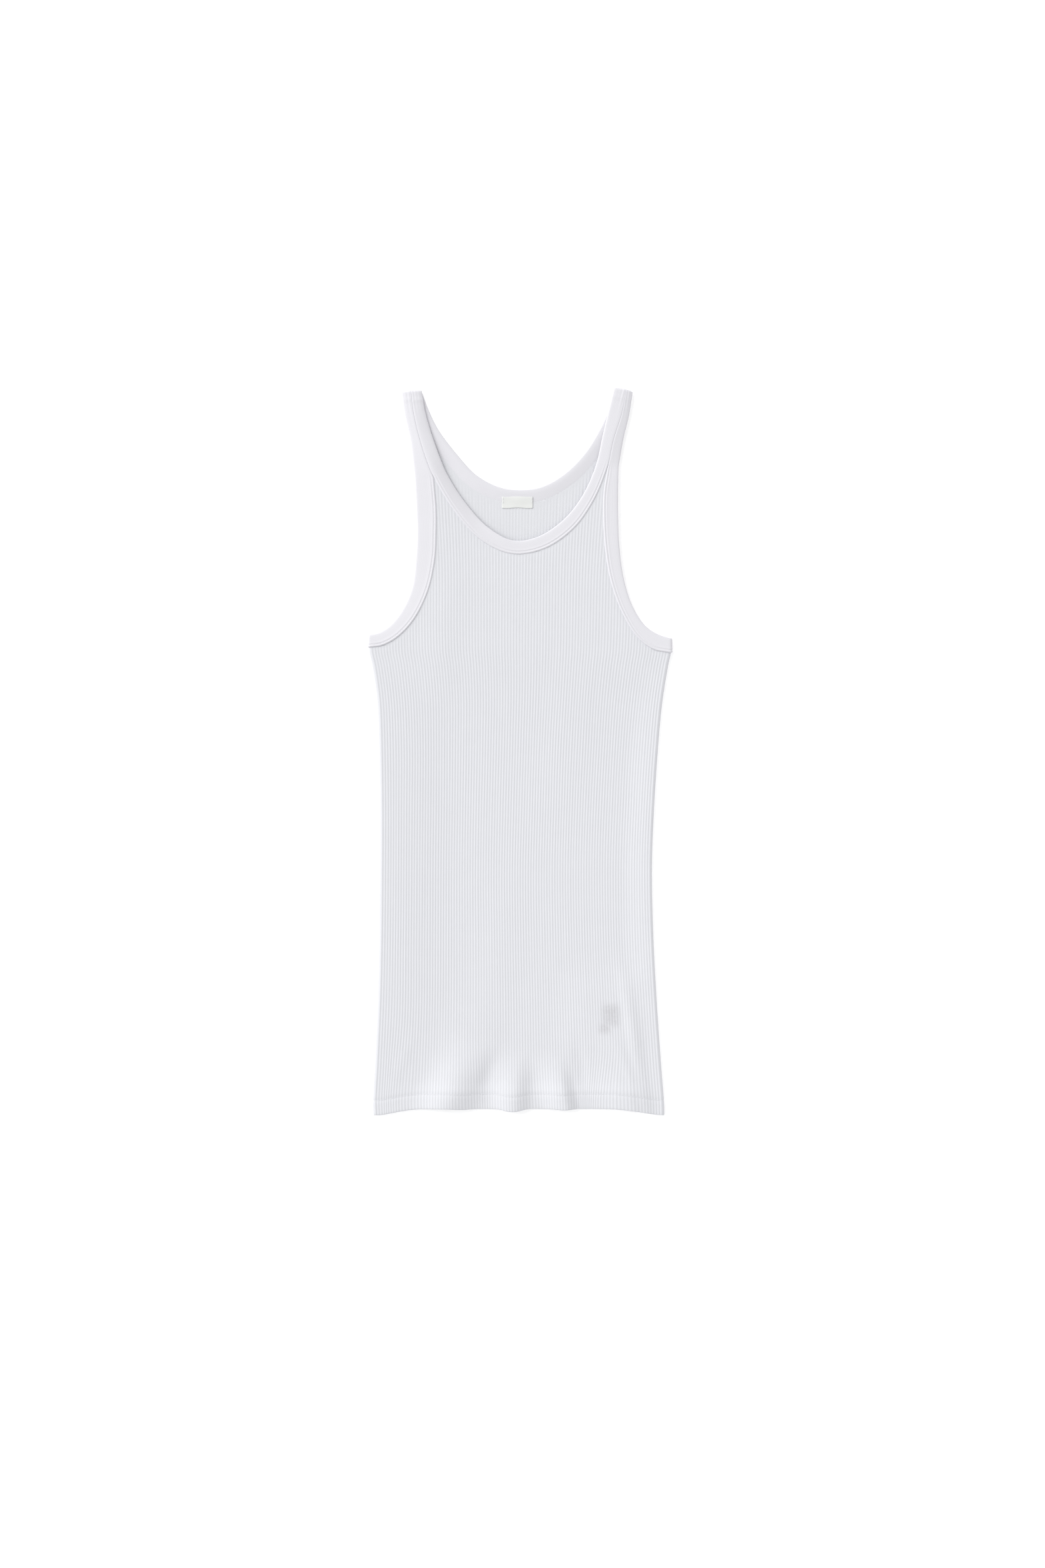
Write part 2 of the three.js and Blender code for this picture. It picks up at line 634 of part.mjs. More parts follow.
addPiece(
  "front_panel",
  panelWall(columnPlaces(2 * RIB_COUNT, frontEdge), frontEdge, FRONT_ROWS, frontPoint),
  cottonRib,
);
addPiece(
  "back_panel",
  panelWall(columnPlaces(BACK_COLUMNS, backEdge, FOLD_PLACES), backEdge, BACK_ROWS, backPoint),
  cottonRib,
);
addPiece(
  "neck_binding",
  bindingLoop(neckFront, [...neckBack].reverse(), SHOULDER.right, SHOULDER.left),
  cottonJersey,
);
for (const side of ["left", "right"]) {
  const { front, back } = arms[side];
  addPiece(
    "armhole_binding_" + side,
    bindingLoop(front.rings, [...back.rings].reverse(), SIDE[side], SHOULDER[side]),
    cottonJersey,
  );
}
addPiece("neck_label", neckLabelGeometry(), satin);
const careLabel = addPiece(
  "care_label",
  new THREE.BoxGeometry(CARE_LABEL.length, CARE_LABEL.width, CARE_LABEL.cloth),
  satin,
);
careLabel.position.set(CARE_LABEL.x, CARE_LABEL.y, CLOTH + SEAM_GAP + CARE_LABEL.cloth / 2);

export default garment;
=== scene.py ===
"""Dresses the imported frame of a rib-knit tank top that lies flat with its front up.

Tables and sizes are real ones in millimetres, in the frame of the part: +X to the wearer's left,
+Y to the shoulders and +Z up from the floor. They become metres where a mesh is made.
"""

import math

import bpy
import numpy as np
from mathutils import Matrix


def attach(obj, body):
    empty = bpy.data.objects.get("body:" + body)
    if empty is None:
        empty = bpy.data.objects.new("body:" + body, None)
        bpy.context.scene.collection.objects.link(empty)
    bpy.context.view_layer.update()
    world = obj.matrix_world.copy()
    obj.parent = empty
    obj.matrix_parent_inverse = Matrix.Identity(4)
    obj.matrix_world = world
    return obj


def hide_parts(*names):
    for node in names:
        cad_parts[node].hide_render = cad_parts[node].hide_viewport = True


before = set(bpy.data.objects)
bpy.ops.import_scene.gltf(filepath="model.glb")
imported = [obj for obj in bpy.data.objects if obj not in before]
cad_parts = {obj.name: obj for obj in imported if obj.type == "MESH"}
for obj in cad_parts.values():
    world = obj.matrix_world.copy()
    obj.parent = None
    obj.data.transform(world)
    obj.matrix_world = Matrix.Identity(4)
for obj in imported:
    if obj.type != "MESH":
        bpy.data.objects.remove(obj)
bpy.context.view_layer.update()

MM = 0.001

# Cloth, seams and bindings, as in the part
CLOTH = 1.0
HEM_CLOTH = 2.0
HEM_HEIGHT = 14
BINDING = 2.4
LAYER_GAP = 0.6
FRONT_BASE = BINDING + LAYER_GAP
FOLD_HEIGHT = FRONT_BASE + BINDING
PANEL_IN_BINDING = 1.7
YOKE_LEVEL = FRONT_BASE + PANEL_IN_BINDING
SEAM_GAP = 0.3
SIDE_GAP = 0.06
SIDE_HEIGHT = 4.3
FOLD_RADIUS = (SIDE_HEIGHT - SIDE_GAP) / 2
FOLD_ARC = FOLD_RADIUS * math.pi / 2
BULGE_REACH = {"left": 76, "right": 28}

# Ribs of the knit
RIB_COUNT = 104
SAMPLES_PER_RIB = 6
FRONT_RIB = 0.15
BACK_RIB = 0.2
RIB_ROUNDNESS = 2.2
TUCK = 4.0

# Sides of the flat body, then the fan of its ribs above the underarms
SIDES = [
    {"y": -341, "left": -137.5, "right": 135.5},
    {"y": -327, "left": -138.0, "right": 135.0},
    {"y": -296, "left": -136.2, "right": 132.5},
    {"y": -233, "left": -133.3, "right": 128.2},
    {"y": -171, "left": -131.9, "right": 125.0},
    {"y": -108, "left": -131.3, "right": 123.8},
    {"y": -46, "left": -131.3, "right": 126.2},
    {"y": 17, "left": -132.4, "right": 130.6},
    {"y": 48, "left": -133.9, "right": 133.8},
    {"y": 79, "left": -138.2, "right": 138.8},
    {"y": 95, "left": -141.6, "right": 142.0},
    {"y": 180, "left": -144.5, "right": 146.5},
    {"y": 340, "left": -164.0, "right": 170.0},
]

# Lower edge of the hem
HEM_Y = -335.2
CORNER_DROP = 6
CORNER_START = 88
CORNER_END = 137
HEM_DIPS = [
    {"x": -55, "half": 14, "drop": 0.7},
    {"x": -7, "half": 17, "drop": 2.6},
    {"x": 41, "half": 15, "drop": 1.0},
]

# Height of the front's outer face
LEVELS = [
    {"y": -342, "z": 4.4},
    {"y": -320, "z": 4.3},
    {"y": -310, "z": 3.3},
    {"y": -235, "z": 2.6},
    {"y": -20, "z": 2.6},
    {"y": 50, "z": 3.6},
    {"y": 96, "z": YOKE_LEVEL},
    {"y": 345, "z": YOKE_LEVEL},
]

# Soft folds up from the hem: left and right are the widths of a fold's two flanks, and lean is how
# far its crest moves in X for each mm of Y
HEM_FOLDS = [
    {"x": -74, "left": 42, "right": 46, "rise": 1.4, "reach": 130, "lean": 0.36},
    {"x": -69, "left": 38, "right": 33, "rise": 4.2, "reach": 72, "lean": 0.4},
    {"x": -6, "left": 27, "right": 19, "rise": 4.4, "reach": 58, "lean": 0.03},
    {"x": 43, "left": 27, "right": 14, "rise": 4.5, "reach": 54, "lean": -0.2},
    {"x": 104, "left": 42, "right": 27, "rise": 2.4, "reach": 96, "lean": -0.12},
]
FOLDS_FULL_BELOW = 8

# Soft troughs and ridges elsewhere: a line from one end to the other, negative rise for a trough
CREASES = [
    {"x0": 60, "y0": -316, "x1": 53, "y1": -268, "half": 10, "rise": -0.5},
    {"x0": -36, "y0": -318, "x1": -24, "y1": -284, "half": 11, "rise": -0.5},
    {"x0": 136, "y0": -314, "x1": 110, "y1": -190, "half": 10, "rise": -0.4},
    {"x0": 130, "y0": -380, "x1": 94, "y1": -196, "half": 11, "rise": 1.25},
    {"x0": -128, "y0": -330, "x1": -98, "y1": -262, "half": 9, "rise": 0.7},
    {"x0": 112, "y0": -322, "x1": 90, "y1": -276, "half": 8, "rise": 0.5},
    {"x0": -112, "y0": -290, "x1": -108, "y1": 60, "half": 34, "rise": 0.5},
    {"x0": -28, "y0": -250, "x1": -12, "y1": -110, "half": 30, "rise": 0.35},
    {"x0": 34, "y0": -60, "x1": 60, "y1": 90, "half": 36, "rise": 0.3},
    {"x0": -86, "y0": 30, "x1": -60, "y1": 190, "half": 28, "rise": 0.35},
]

# Places where the front stands higher: the left strap, and over the care label
SWELLS = [
    {"x": -84, "y": 232, "flat_x": 4, "flat_y": 24, "fade": 44, "rise": 0.6},
    {"x": 92, "y": -250, "flat_x": 28, "flat_y": 16, "fade": 36, "rise": 1.1},
]

# Stretches near the hem where the ribs slide sideways with the folds
CHEST_RIBS = {"from_y": 40, "full_y": 120, "lower": 0.2}
RIB_SLIDES = [
    {"x": 84, "half": 36, "reach": 62, "slide": -7.0},
    {"x": -112, "half": 24, "reach": 90, "slide": -2.4},
    {"x": -44, "half": 22, "reach": 70, "slide": 2.0},
    {"x": 18, "half": 18, "reach": 50, "slide": 1.2},
]

# Neckline of the front from the left shoulder to the right one: free edge, then stitched edge
NECK_FRONT = [
    {"free": (-91.6, 335.8), "seam": (-101.5, 335.4)},
    {"free": (-89.0, 319.4), "seam": (-99.4, 317.3)},
    {"free": (-82.6, 296.8), "seam": (-93.9, 293.4)},
    {"free": (-73.4, 271.3), "seam": (-85.1, 266.4)},
    {"free": (-68.9, 261.0), "seam": (-80.3, 255.8)},
    {"free": (-52.5, 234.8), "seam": (-62.8, 226.4)},
    {"free": (-29.2, 209.1), "seam": (-37.8, 198.4)},
    {"free": (-5.8, 197.0), "seam": (-8.0, 184.5)},
    {"free": (17.5, 200.9), "seam": (22.5, 189.0)},
    {"free": (40.8, 216.4), "seam": (50.0, 207.6)},
    {"free": (58.4, 238.6), "seam": (68.8, 233.6)},
    {"free": (71.2, 267.4), "seam": (81.7, 264.6)},
    {"free": (77.5, 294.7), "seam": (87.9, 292.0)},
    {"free": (82.6, 316.6), "seam": (95.2, 314.8)},
    {"free": (88.2, 338.6), "seam": (99.6, 336.4)},
]
NECK_FRONT_TIPS = {"left": 4, "right": 11}

# Neckline of the back, from the left shoulder to the right one
NECK_BACK = [
    {"free": (-91.6, 335.8), "seam": (-101.5, 335.4)},
    {"free": (-84.9, 318.0), "seam": (-95.9, 313.6)},
    {"free": (-76.8, 301.6), "seam": (-86.8, 293.6)},
    {"free": (-60.0, 279.1), "seam": (-69.6, 270.6)},
    {"free": (-40.8, 258.6), "seam": (-48.2, 248.1)},
    {"free": (-19.0, 247.4), "seam": (-22.4, 235.0)},
    {"free": (0.0, 245.0), "seam": (0.0, 232.2)},
    {"free": (19.0, 247.4), "seam": (22.4, 235.0)},
    {"free": (40.8, 259.3), "seam": (48.0, 248.8)},
    {"free": (60.6, 279.1), "seam": (70.2, 270.6)},
    {"free": (75.2, 302.6), "seam": (85.9, 295.8)},
    {"free": (82.2, 318.6), "seam": (93.4, 314.8)},
    {"free": (88.2, 338.6), "seam": (99.6, 336.4)},
]
NECK_BACK_TIPS = {"left": 2, "right": 10}

# Free edge of each armhole down the strap, a row for each neckline row from shoulder to tip
STRAP_EDGES = {
    "left_front": [(-110.4, 335.1), (-107.9, 315.6), (-102.8, 292.4), (-99.6, 267.4), (-98.4, 256.0)],
    "left_back": [(-110.4, 335.1), (-104.6, 311.0), (-99.4, 291.0)],
    "right_front": [(105.7, 335.2), (102.2, 313.6), (97.0, 292.0), (92.4, 265.6)],
    "right_back": [(105.7, 335.2), (100.6, 312.4), (95.0, 292.6)],
}

# Rest of each armhole, from the tip of the panel to the underarm
ARMHOLES = {
    "left_front": [
        {"free": (-96.9, 228.0), "seam": (-78.1, 227.0)},
        {"free": (-96.2, 204.1), "seam": (-78.1, 204.0)},
        {"free": (-97.3, 181.0), "seam": (-79.3, 180.0)},
        {"free": (-101.2, 152.0), "seam": (-86.0, 149.6)},
        {"free": (-111.9, 129.1), "seam": (-99.2, 123.0)},
        {"free": (-122.5, 116.8), "seam": (-114.8, 106.4)},
        {"free": (-132.0, 110.9), "seam": (-128.6, 98.9)},
        {"free": (-140.4, 108.9), "seam": (-140.4, 97.0)},
    ],
    "left_back": [
        {"free": (-97.0, 268.0), "seam": (-84.3, 270.0)},
        {"free": (-95.4, 228.0), "seam": (-82.4, 228.0)},
        {"free": (-95.6, 186.0), "seam": (-82.8, 184.0)},
        {"free": (-99.9, 154.0), "seam": (-87.6, 149.6)},
        {"free": (-110.6, 130.4), "seam": (-100.0, 123.0)},
        {"free": (-121.6, 117.8), "seam": (-114.8, 106.8)},
        {"free": (-131.6, 111.3), "seam": (-128.4, 99.1)},
        {"free": (-140.4, 108.9), "seam": (-140.4, 97.0)},
    ],
    "right_front": [
        {"free": (91.9, 243.0), "seam": (78.4, 243.0)},
        {"free": (92.0, 220.0), "seam": (77.9, 219.9)},
        {"free": (93.1, 193.0), "seam": (79.3, 193.6)},
        {"free": (97.0, 163.0), "seam": (84.2, 162.0)},
        {"free": (105.2, 136.4), "seam": (94.2, 132.6)},
        {"free": (117.2, 117.6), "seam": (109.8, 106.6)},
        {"free": (129.0, 109.6), "seam": (125.4, 95.0)},
        {"free": (140.4, 105.8), "seam": (140.4, 92.0)},
    ],
    "right_back": [
        {"free": (91.6, 266.0), "seam": (79.6, 268.4)},
        {"free": (90.5, 228.0), "seam": (77.8, 228.0)},
        {"free": (91.8, 192.0), "seam": (79.0, 191.4)},
        {"free": (96.0, 162.0), "seam": (84.0, 159.0)},
        {"free": (104.4, 137.0), "seam": (94.4, 130.6)},
        {"free": (116.2, 118.4), "seam": (109.4, 107.6)},
        {"free": (128.4, 110.0), "seam": (125.0, 96.0)},
        {"free": (140.4, 105.8), "seam": (140.4, 92.0)},
    ],
}

# Section of a binding, outer face then inner face. in_from is mm from that edge, up is mm from its base.
BAND_FREE_EDGE = [
    {"in_from": 0.0, "up": 1.25},
    {"in_from": 0.08, "up": 1.8},
    {"in_from": 0.36, "up": 2.12},
    {"in_from": 0.95, "up": 2.3},
    {"in_from": 2.1, "up": 2.38},
]
FULL_WIDTH = 12
BAND_STITCHING = [
    {"in_from": 4.9, "up": 2.34, "on_strap": 2.38},
    {"in_from": 4.2, "up": 2.42, "on_strap": 2.38},
    {"in_from": 3.6, "up": 2.52, "on_strap": 2.38},
    {"in_from": 3.0, "up": 2.34, "on_strap": 2.38},
    {"in_from": 2.5, "up": 2.1, "on_strap": 2.38},
    {"in_from": 2.0, "up": 2.34, "on_strap": 2.37},
    {"in_from": 1.35, "up": 2.54, "on_strap": 2.34},
    {"in_from": 0.7, "up": 2.44, "on_strap": 2.27},
    {"in_from": 0.22, "up": 2.05, "on_strap": 2.16},
    {"in_from": 0.0, "up": 1.5, "on_strap": 2.0},
    {"in_from": 0.3, "up": 1.42, "on_strap": 1.42},
    {"in_from": 2.2, "up": 1.2, "on_strap": 1.2},
    {"in_from": 5.0, "up": 0.82, "on_strap": 0.82},
    {"in_from": 8.0, "up": 0.44, "on_strap": 0.44},
]
BAND_INSIDE = [
    {"in_from": 1.4, "up": 0.14},
    {"in_from": 0.4, "up": 0.36},
]
STITCH_LINE = {"in_from": 2.5, "up": 2.0}
BAND_MIDDLE_SHARES = (0.25, 0.5, 0.75)
STRAP_CLOSING = 0.148
RESTING = 0.02
DROPS = {"neck_left": 1.25, "neck_right": 0.2, "left": 1.3, "right": 0.25}
STRAP_DROPS = {"neck_left": 0.9, "neck_right": 0.2, "left": 1.5, "right": 1.35}
NECK_FALL = 3.5
NECK_SINKS = {"left": 1.75, "right": 0.1}
STRAP_SINKS = {"left": 0.65, "right": 0.2}
SINK_CHANGE = {"from_y": 257, "to_y": 288}
RINGS_PER_ROW = 12
TIP_BLEND = 5
SHOULDER_SEAM = {"below": 6.8, "half": 2.6, "rise": 0.28}
SHOULDER_GATHERS = {"pitch": 3.1, "reach": 30, "rise": 0.1}
FOLD_RINGS = 12
SHOULDER = {"left": (-0.067, 0.998), "right": (0.193, 0.981)}
SIDE = {"left": (-1, 0), "right": (1, 0)}

# Labels
NECK_LABEL = {"x": -2.3, "y": 233.0, "width": 29, "height": 10.6, "z": 2.1, "thickness": 0.3}
CARE_LABEL = {"x": 92, "y": -250.5, "width": 61, "height": 34, "z": 1.8, "thickness": 0.4}

# The photograph: 0.625 mm for each pixel of its frame, from straight above
MM_PER_PIXEL = 0.625
FRAME_HEIGHT_PIXELS = 2352
FRAME_CENTRE = (2.5, -30.9)
CAMERA_HEIGHT = 2750
SENSOR_HEIGHT = 36
FLOOR_GLOW = 0.3
WORLD_STRENGTH = 0.715
KEY_LIGHT = {"elevation": 28, "bearing": 146, "spread": 54, "strength": 2.2}


def smooth_step(start, end, value):
    t = np.clip((value - start) / (end - start), 0, 1)
    return t * t * (3 - 2 * t)


def bell(distance, half):
    """1 at the middle, 0 from half away."""
    return 0.5 + 0.5 * np.cos(np.pi * np.clip(np.abs(distance) / half, 0, 1))


def soft_noise(x, y, cell_x, cell_y, seed):
    """Smooth noise from -1 to 1, the same at every run."""
    cells = 64
    grid = np.random.default_rng(seed).uniform(-1, 1, (cells, cells))
    u, v = np.broadcast_arrays(x / cell_x, y / cell_y)
    i, j = np.floor(u).astype(int), np.floor(v).astype(int)
    a, b = smooth_step(0, 1, u - i), smooth_step(0, 1, v - j)

    def corner(di, dj):
        return grid[(i + di) % cells, (j + dj) % cells]

    low = corner(0, 0) * (1 - a) + corner(1, 0) * a
    high = corner(0, 1) * (1 - a) + corner(1, 1) * a
    return low * (1 - b) + high * b


def through_rows(rows, key):
    """A smooth function of y through a table's rows, as cubic pieces."""
    at = np.array([row["y"] for row in rows], float)
    value = np.array([row[key] for row in rows], float)
    before = np.r_[0, 0:len(rows) - 1]
    after = np.r_[1:len(rows), len(rows) - 1]
    slope = (value[after] - value[before]) / (at[after] - at[before])

    def value_at(y):
        y = np.asarray(y, float)
        i = np.clip(np.searchsorted(at, y) - 1, 0, len(rows) - 2)
        span = at[i + 1] - at[i]
        t = np.clip((y - at[i]) / span, 0, 1)
        from_low = (2 * t**3 - 3 * t**2 + 1) * value[i] + (t**3 - 2 * t**2 + t) * span * slope[i]
        from_high = (3 * t**2 - 2 * t**3) * value[i + 1] + (t**3 - t**2) * span * slope[i + 1]
        return from_low + from_high

    return value_at


left_side = through_rows(SIDES, "left")
right_side = through_rows(SIDES, "right")
level_at = through_rows(LEVELS, "z")


def smooth_line(points, steps):
    """Points along a smooth curve through the given ones, steps to each span."""
    points = np.asarray(points, float)
    p = np.vstack([2 * points[0] - points[1], points, 2 * points[-1] - points[-2]])
    t = np.linspace(0, 1, steps, endpoint=False)[:, None]
    line = []
    for i in range(1, len(p) - 2):
        a, b, c, d = p[i - 1 : i + 3]
        ab, bc, cd = (math.sqrt(np.linalg.norm(end - start)) for start, end in ((a, b), (b, c), (c, d)))
        leave = bc * ((b - a) / ab - (c - a) / (ab + bc) + (c - b) / bc)
        reach = bc * ((c - b) / bc - (d - b) / (bc + cd) + (d - c) / cd)
        from_low = (2 * t**3 - 3 * t**2 + 1) * b + (t**3 - 2 * t**2 + t) * leave
        line.append(from_low + (3 * t**2 - 2 * t**3) * c + (t**3 - t**2) * reach)
    return np.vstack([*line, points[-1:]])


# The body


def hem_line(x):
    corner = CORNER_DROP * smooth_step(CORNER_START, CORNER_END, np.abs(x))
    return HEM_Y - corner - sum(dip["drop"] * bell(x - dip["x"], dip["half"]) for dip in HEM_DIPS)


def crease_rise(x, y):
    """What the creases add: each fades at its two ends and to its sides."""
    rise = 0
    for c in CREASES:
        share = (y - c["y0"]) / (c["y1"] - c["y0"])
        middle = c["x0"] + (c["x1"] - c["x0"]) * share
        along = smooth_step(-0.15, 0.35, share) * (1 - smooth_step(0.65, 1.1, share))
        rise = rise + c["rise"] * along * bell(x - middle, c["half"])
    return rise


def front_level(x, y):
    """Height of the front's outer face away from the side folds."""
    above = y - HEM_Y
    z = level_at(y) + crease_rise(x, y)
    for fold in HEM_FOLDS:
        fade = 1 - smooth_step(FOLDS_FULL_BELOW, fold["reach"], above)
        from_crest = x - fold["x"] - fold["lean"] * above
        flank = np.where(from_crest < 0, fold["left"], fold["right"])
        z = z + fold["rise"] * fade * bell(from_crest, flank)
    for s in SWELLS:
        across = 1 - smooth_step(s["flat_x"], s["flat_x"] + s["fade"], np.abs(x - s["x"]))
        along = 1 - smooth_step(s["flat_y"], s["flat_y"] + s["fade"], np.abs(y - s["y"]))
        z = z + s["rise"] * across * along
    return z


def place_of(x, y):
    """From -1 at the left side seam to 1 at the right one."""
    middle, half = (left_side(y) + right_side(y)) / 2, (right_side(y) - left_side(y)) / 2
    from_seam = half - FOLD_RADIUS - np.abs(x - middle) + FOLD_ARC
    return np.sign(x - middle) * (1 - from_seam / (half - FOLD_RADIUS + FOLD_ARC))


def across_body(place, y):
    """Side, turn round the side fold and distance in from it, for a place on the body."""
    middle, half = (left_side(y) + right_side(y)) / 2, (right_side(y) - left_side(y)) / 2
    from_seam = (1 - np.abs(place)) * (half - FOLD_RADIUS + FOLD_ARC)
    side = np.where(place < 0, -1, 1)
    turn = np.minimum(from_seam / FOLD_RADIUS, math.pi / 2)
    inward = np.maximum(0, from_seam - FOLD_ARC)
    return side, turn, inward, middle + side * (half - FOLD_RADIUS)


def rib_height(place, y, seed):
    """Rounded ribs with narrow furrows, a little uneven from one to the next and along each."""
    phase = (place + 1) / 2 * RIB_COUNT
    crest = 1 - np.abs(np.cos(np.pi * phase)) ** RIB_ROUNDNESS
    slow = 0.3 * soft_noise(np.floor(phase) * 7.3, y, 1, 44, seed)
    quick = 0.16 * soft_noise(np.floor(phase) * 5.1, y, 1, 8, seed + 1)
    return crest * (1 + slow + quick)


def rib_slide(x, y, inward):
    """Sideways slide of the ribs by the hem's folds, and their slight wander, none at the sides."""
    above = y - HEM_Y
    slide = 0.35 * soft_noise(x, y, 34, 60, 5)
    for row in RIB_SLIDES:
        slide = slide + row["slide"] * (1 - smooth_step(0, row["reach"], above)) * bell(x - row["x"], row["half"])
    return slide * smooth_step(4, 16, inward)


def front_points(place, y, depth, rib):
    """Points of the front wall; depth is measured into the cloth from its outer face."""
    side, turn, inward, centre = across_body(place, y)
    on_chest = smooth_step(CHEST_RIBS["from_y"], CHEST_RIBS["full_y"], y)
    rib = FRONT_RIB * rib * (1 - CHEST_RIBS["lower"] * on_chest)
    raised = rib * rib_height(place, y, 11) - depth
    radius = FOLD_RADIUS + raised
    x = centre + side * (radius * np.cos(turn) - inward)
    x = x + rib_slide(x, y, inward)
    reach = np.where(side < 0, BULGE_REACH["left"], BULGE_REACH["right"])
    bulge = 1 - smooth_step(0, reach, inward)
    level = front_level(x, y)
    flat = level + (SIDE_HEIGHT - level) * bulge + raised
    fold = SIDE_HEIGHT - FOLD_RADIUS + radius * np.sin(turn)
    return np.stack([x, np.broadcast_to(y, x.shape), np.where(turn < math.pi / 2, fold, flat)], -1)


def back_points(place, y, depth, rib):
    """Points of the back wall, whose outer face lies on the floor with its ribs' crests at 0."""
    side, turn, inward, centre = across_body(place, y)
    height = BACK_RIB * rib * rib_height(place, y, 23)
    inner = depth >= CLOTH
    sunk = np.where(inner, depth - height, depth + BACK_RIB * rib - height)
    radius = FOLD_RADIUS - sunk
    x = centre + side * (radius * np.cos(turn) - inward)
    x = x + rib_slide(x, y, inward) * 0.5
    z = np.maximum(FOLD_RADIUS - radius * np.sin(turn), RESTING)
    return np.stack([x, np.broadcast_to(y, x.shape), z], -1)


def top_of(place, lines):
    """The first stitched edge that a rib at each place meets on its way up."""
    top = np.full(place.shape, np.inf)
    for line in lines:
        for (place_a, y_a), (place_b, y_b) in zip(line[:-1], line[1:]):
            low, high = min(place_a, place_b), max(place_a, place_b)
            share = (place - place_a) / (place_b - place_a) if high - low > 1e-9 else 0 * place
            meets = (place >= low) & (place <= high)
            top = np.where(meets, np.minimum(top, y_a + (y_b - y_a) * np.clip(share, 0, 1)), top)
    return top


# Meshes


def cloth_object(name, points, faces, uv):
    """A smooth object from points in mm, with a map of the knit that has a place for each point."""
    polygons = [tuple(int(i) for i in face) for face in faces]
    mesh = bpy.data.meshes.new(name)
    mesh.from_pydata((points * MM).tolist(), [], polygons)
    corners = np.empty(len(mesh.loops), int)
    mesh.loops.foreach_get("vertex_index", corners)
    layer = mesh.uv_layers.new(name="knit")
    layer.data.foreach_set("uv", uv[corners].astype(np.float32).ravel())
    mesh.polygons.foreach_set("use_smooth", [True] * len(polygons))
    mesh.update()
    outward(mesh)
    piece = bpy.data.objects.new(name, mesh)
    bpy.context.scene.collection.objects.link(piece)
    return piece


def grid_mesh(name, points, uv, close_columns=False, caps=False):
    """A closed mesh of quads over a grid of points, whose last row meets its first."""
    rows, columns = points.shape[:2]
    r = np.arange(rows)[:, None]
    c = np.arange(columns if close_columns else columns - 1)[None, :]
    corners = [(r, c), (r, c + 1), (r + 1, c + 1), (r + 1, c)]
    faces = np.stack([(a % rows) * columns + b % columns for a, b in corners], -1).reshape(-1, 4).tolist()
    if caps:
        faces.append([a * columns for a in range(rows)])
        faces.append([a * columns + columns - 1 for a in reversed(range(rows))])
    return cloth_object(name, points.reshape(-1, 3), faces, uv.reshape(-1, 2))


def outward(mesh):
    """Turns the faces of a closed mesh outwards."""
    mesh.calc_loop_triangles()
    corner = np.empty(len(mesh.vertices) * 3)
    mesh.vertices.foreach_get("co", corner)
    triangles = np.empty(len(mesh.loop_triangles) * 3, int)
    mesh.loop_triangles.foreach_get("vertices", triangles)
    a, b, c = corner.reshape(-1, 3)[triangles.reshape(-1, 3)].transpose(1, 0, 2)
    if np.einsum("ij,ij->i", a, np.cross(b, c)).sum() < 0:
        mesh.flip_normals()


def into_bindings(x, y, bands):
    """How far each point lies inside the nearest binding, from its stitched edge; negative outside."""
    inside = np.full(x.shape, -np.inf)
    for band in bands:
        across = band["free"] - band["seam"]
        across = across / np.linalg.norm(across, axis=1, keepdims=True)
        nearest = np.full(x.shape, np.inf)
        depth = np.zeros(x.shape)
        for (seam_x, seam_y), (across_x, across_y) in zip(band["seam"], across):
            off_x, off_y = x - seam_x, y - seam_y
            distance = off_x**2 + off_y**2
            closer = distance < nearest
            nearest = np.where(closer, distance, nearest)
            depth = np.where(closer, off_x * across_x + off_y * across_y, depth)
        inside = np.maximum(inside, depth)
    return inside


def column_points(points_at, bands, place, hem, top, rows):
    """Points of every row up the columns, and how many of them each column keeps below its top."""
    height = np.array([r["height"] for r in rows])[:, None]
    with_hem = 1 - smooth_step(20, 110, height)
    y = HEM_Y + height + (hem - HEM_Y) * with_hem
    kept = (y < top - LEAST_ROW).sum(0)
    y = np.minimum(y, top)
    y = np.vstack([y, top[None]])
    depth = np.array([r["depth"] for r in rows] + [rows[-1]["depth"]])[:, None] + 0 * y
    rib = np.array([r["rib"] for r in rows] + [rows[-1]["rib"]])[:, None] + 0 * y
    upper = np.flatnonzero((y > BINDINGS_ABOVE).any(1))[0]
    x = points_at(place, y[upper:], 0, 0)[:, :, 0]
    inside = into_bindings(x, y[upper:], bands)
    rib[upper:] *= 1 - 0.9 * smooth_step(-2.4, 0.6, inside)
    depth[upper:] += np.where(depth[upper:] < CLOTH, 0.7, 0.1) * smooth_step(-0.4, 3.2, inside)
    return points_at(place, y, depth, rib), kept


def side_faces(start, kept):
    """Faces between neighbouring columns: quads, then a fan up the taller column."""
    faces = []
    for i in range(len(kept) - 1):
        a, b = start[i], start[i + 1]
        common = min(kept[i], kept[i + 1])
        faces += [(a + r, b + r, b + r + 1, a + r + 1) for r in range(common - 1)]
        low_a, low_b, top_a, top_b = a + common - 1, b + common - 1, a + kept[i], b + kept[i + 1]
        if kept[i] >= kept[i + 1]:
            faces += [(low_b, top_b, low_a)]
            faces += [(r, top_b, r + 1) for r in range(low_a, top_a)]
        else:
            faces += [(low_a, low_b, top_a)]
            faces += [(r, r + 1, top_a) for r in range(low_b, top_b)]
    return faces


def zipped(outer, inner, height):
    """Triangles between two chains of points that both run up from the hem."""
    faces = []
    i = j = 0
    while i < len(outer) - 1 or j < len(inner) - 1:
        outer_next = height[outer[i + 1]] if i < len(outer) - 1 else math.inf
        inner_next = height[inner[j + 1]] if j < len(inner) - 1 else math.inf
        if outer_next <= inner_next:
            faces.append((outer[i], outer[i + 1], inner[j]))
            i += 1
        else:
            faces.append((outer[i], inner[j + 1], inner[j]))
            j += 1
    return faces


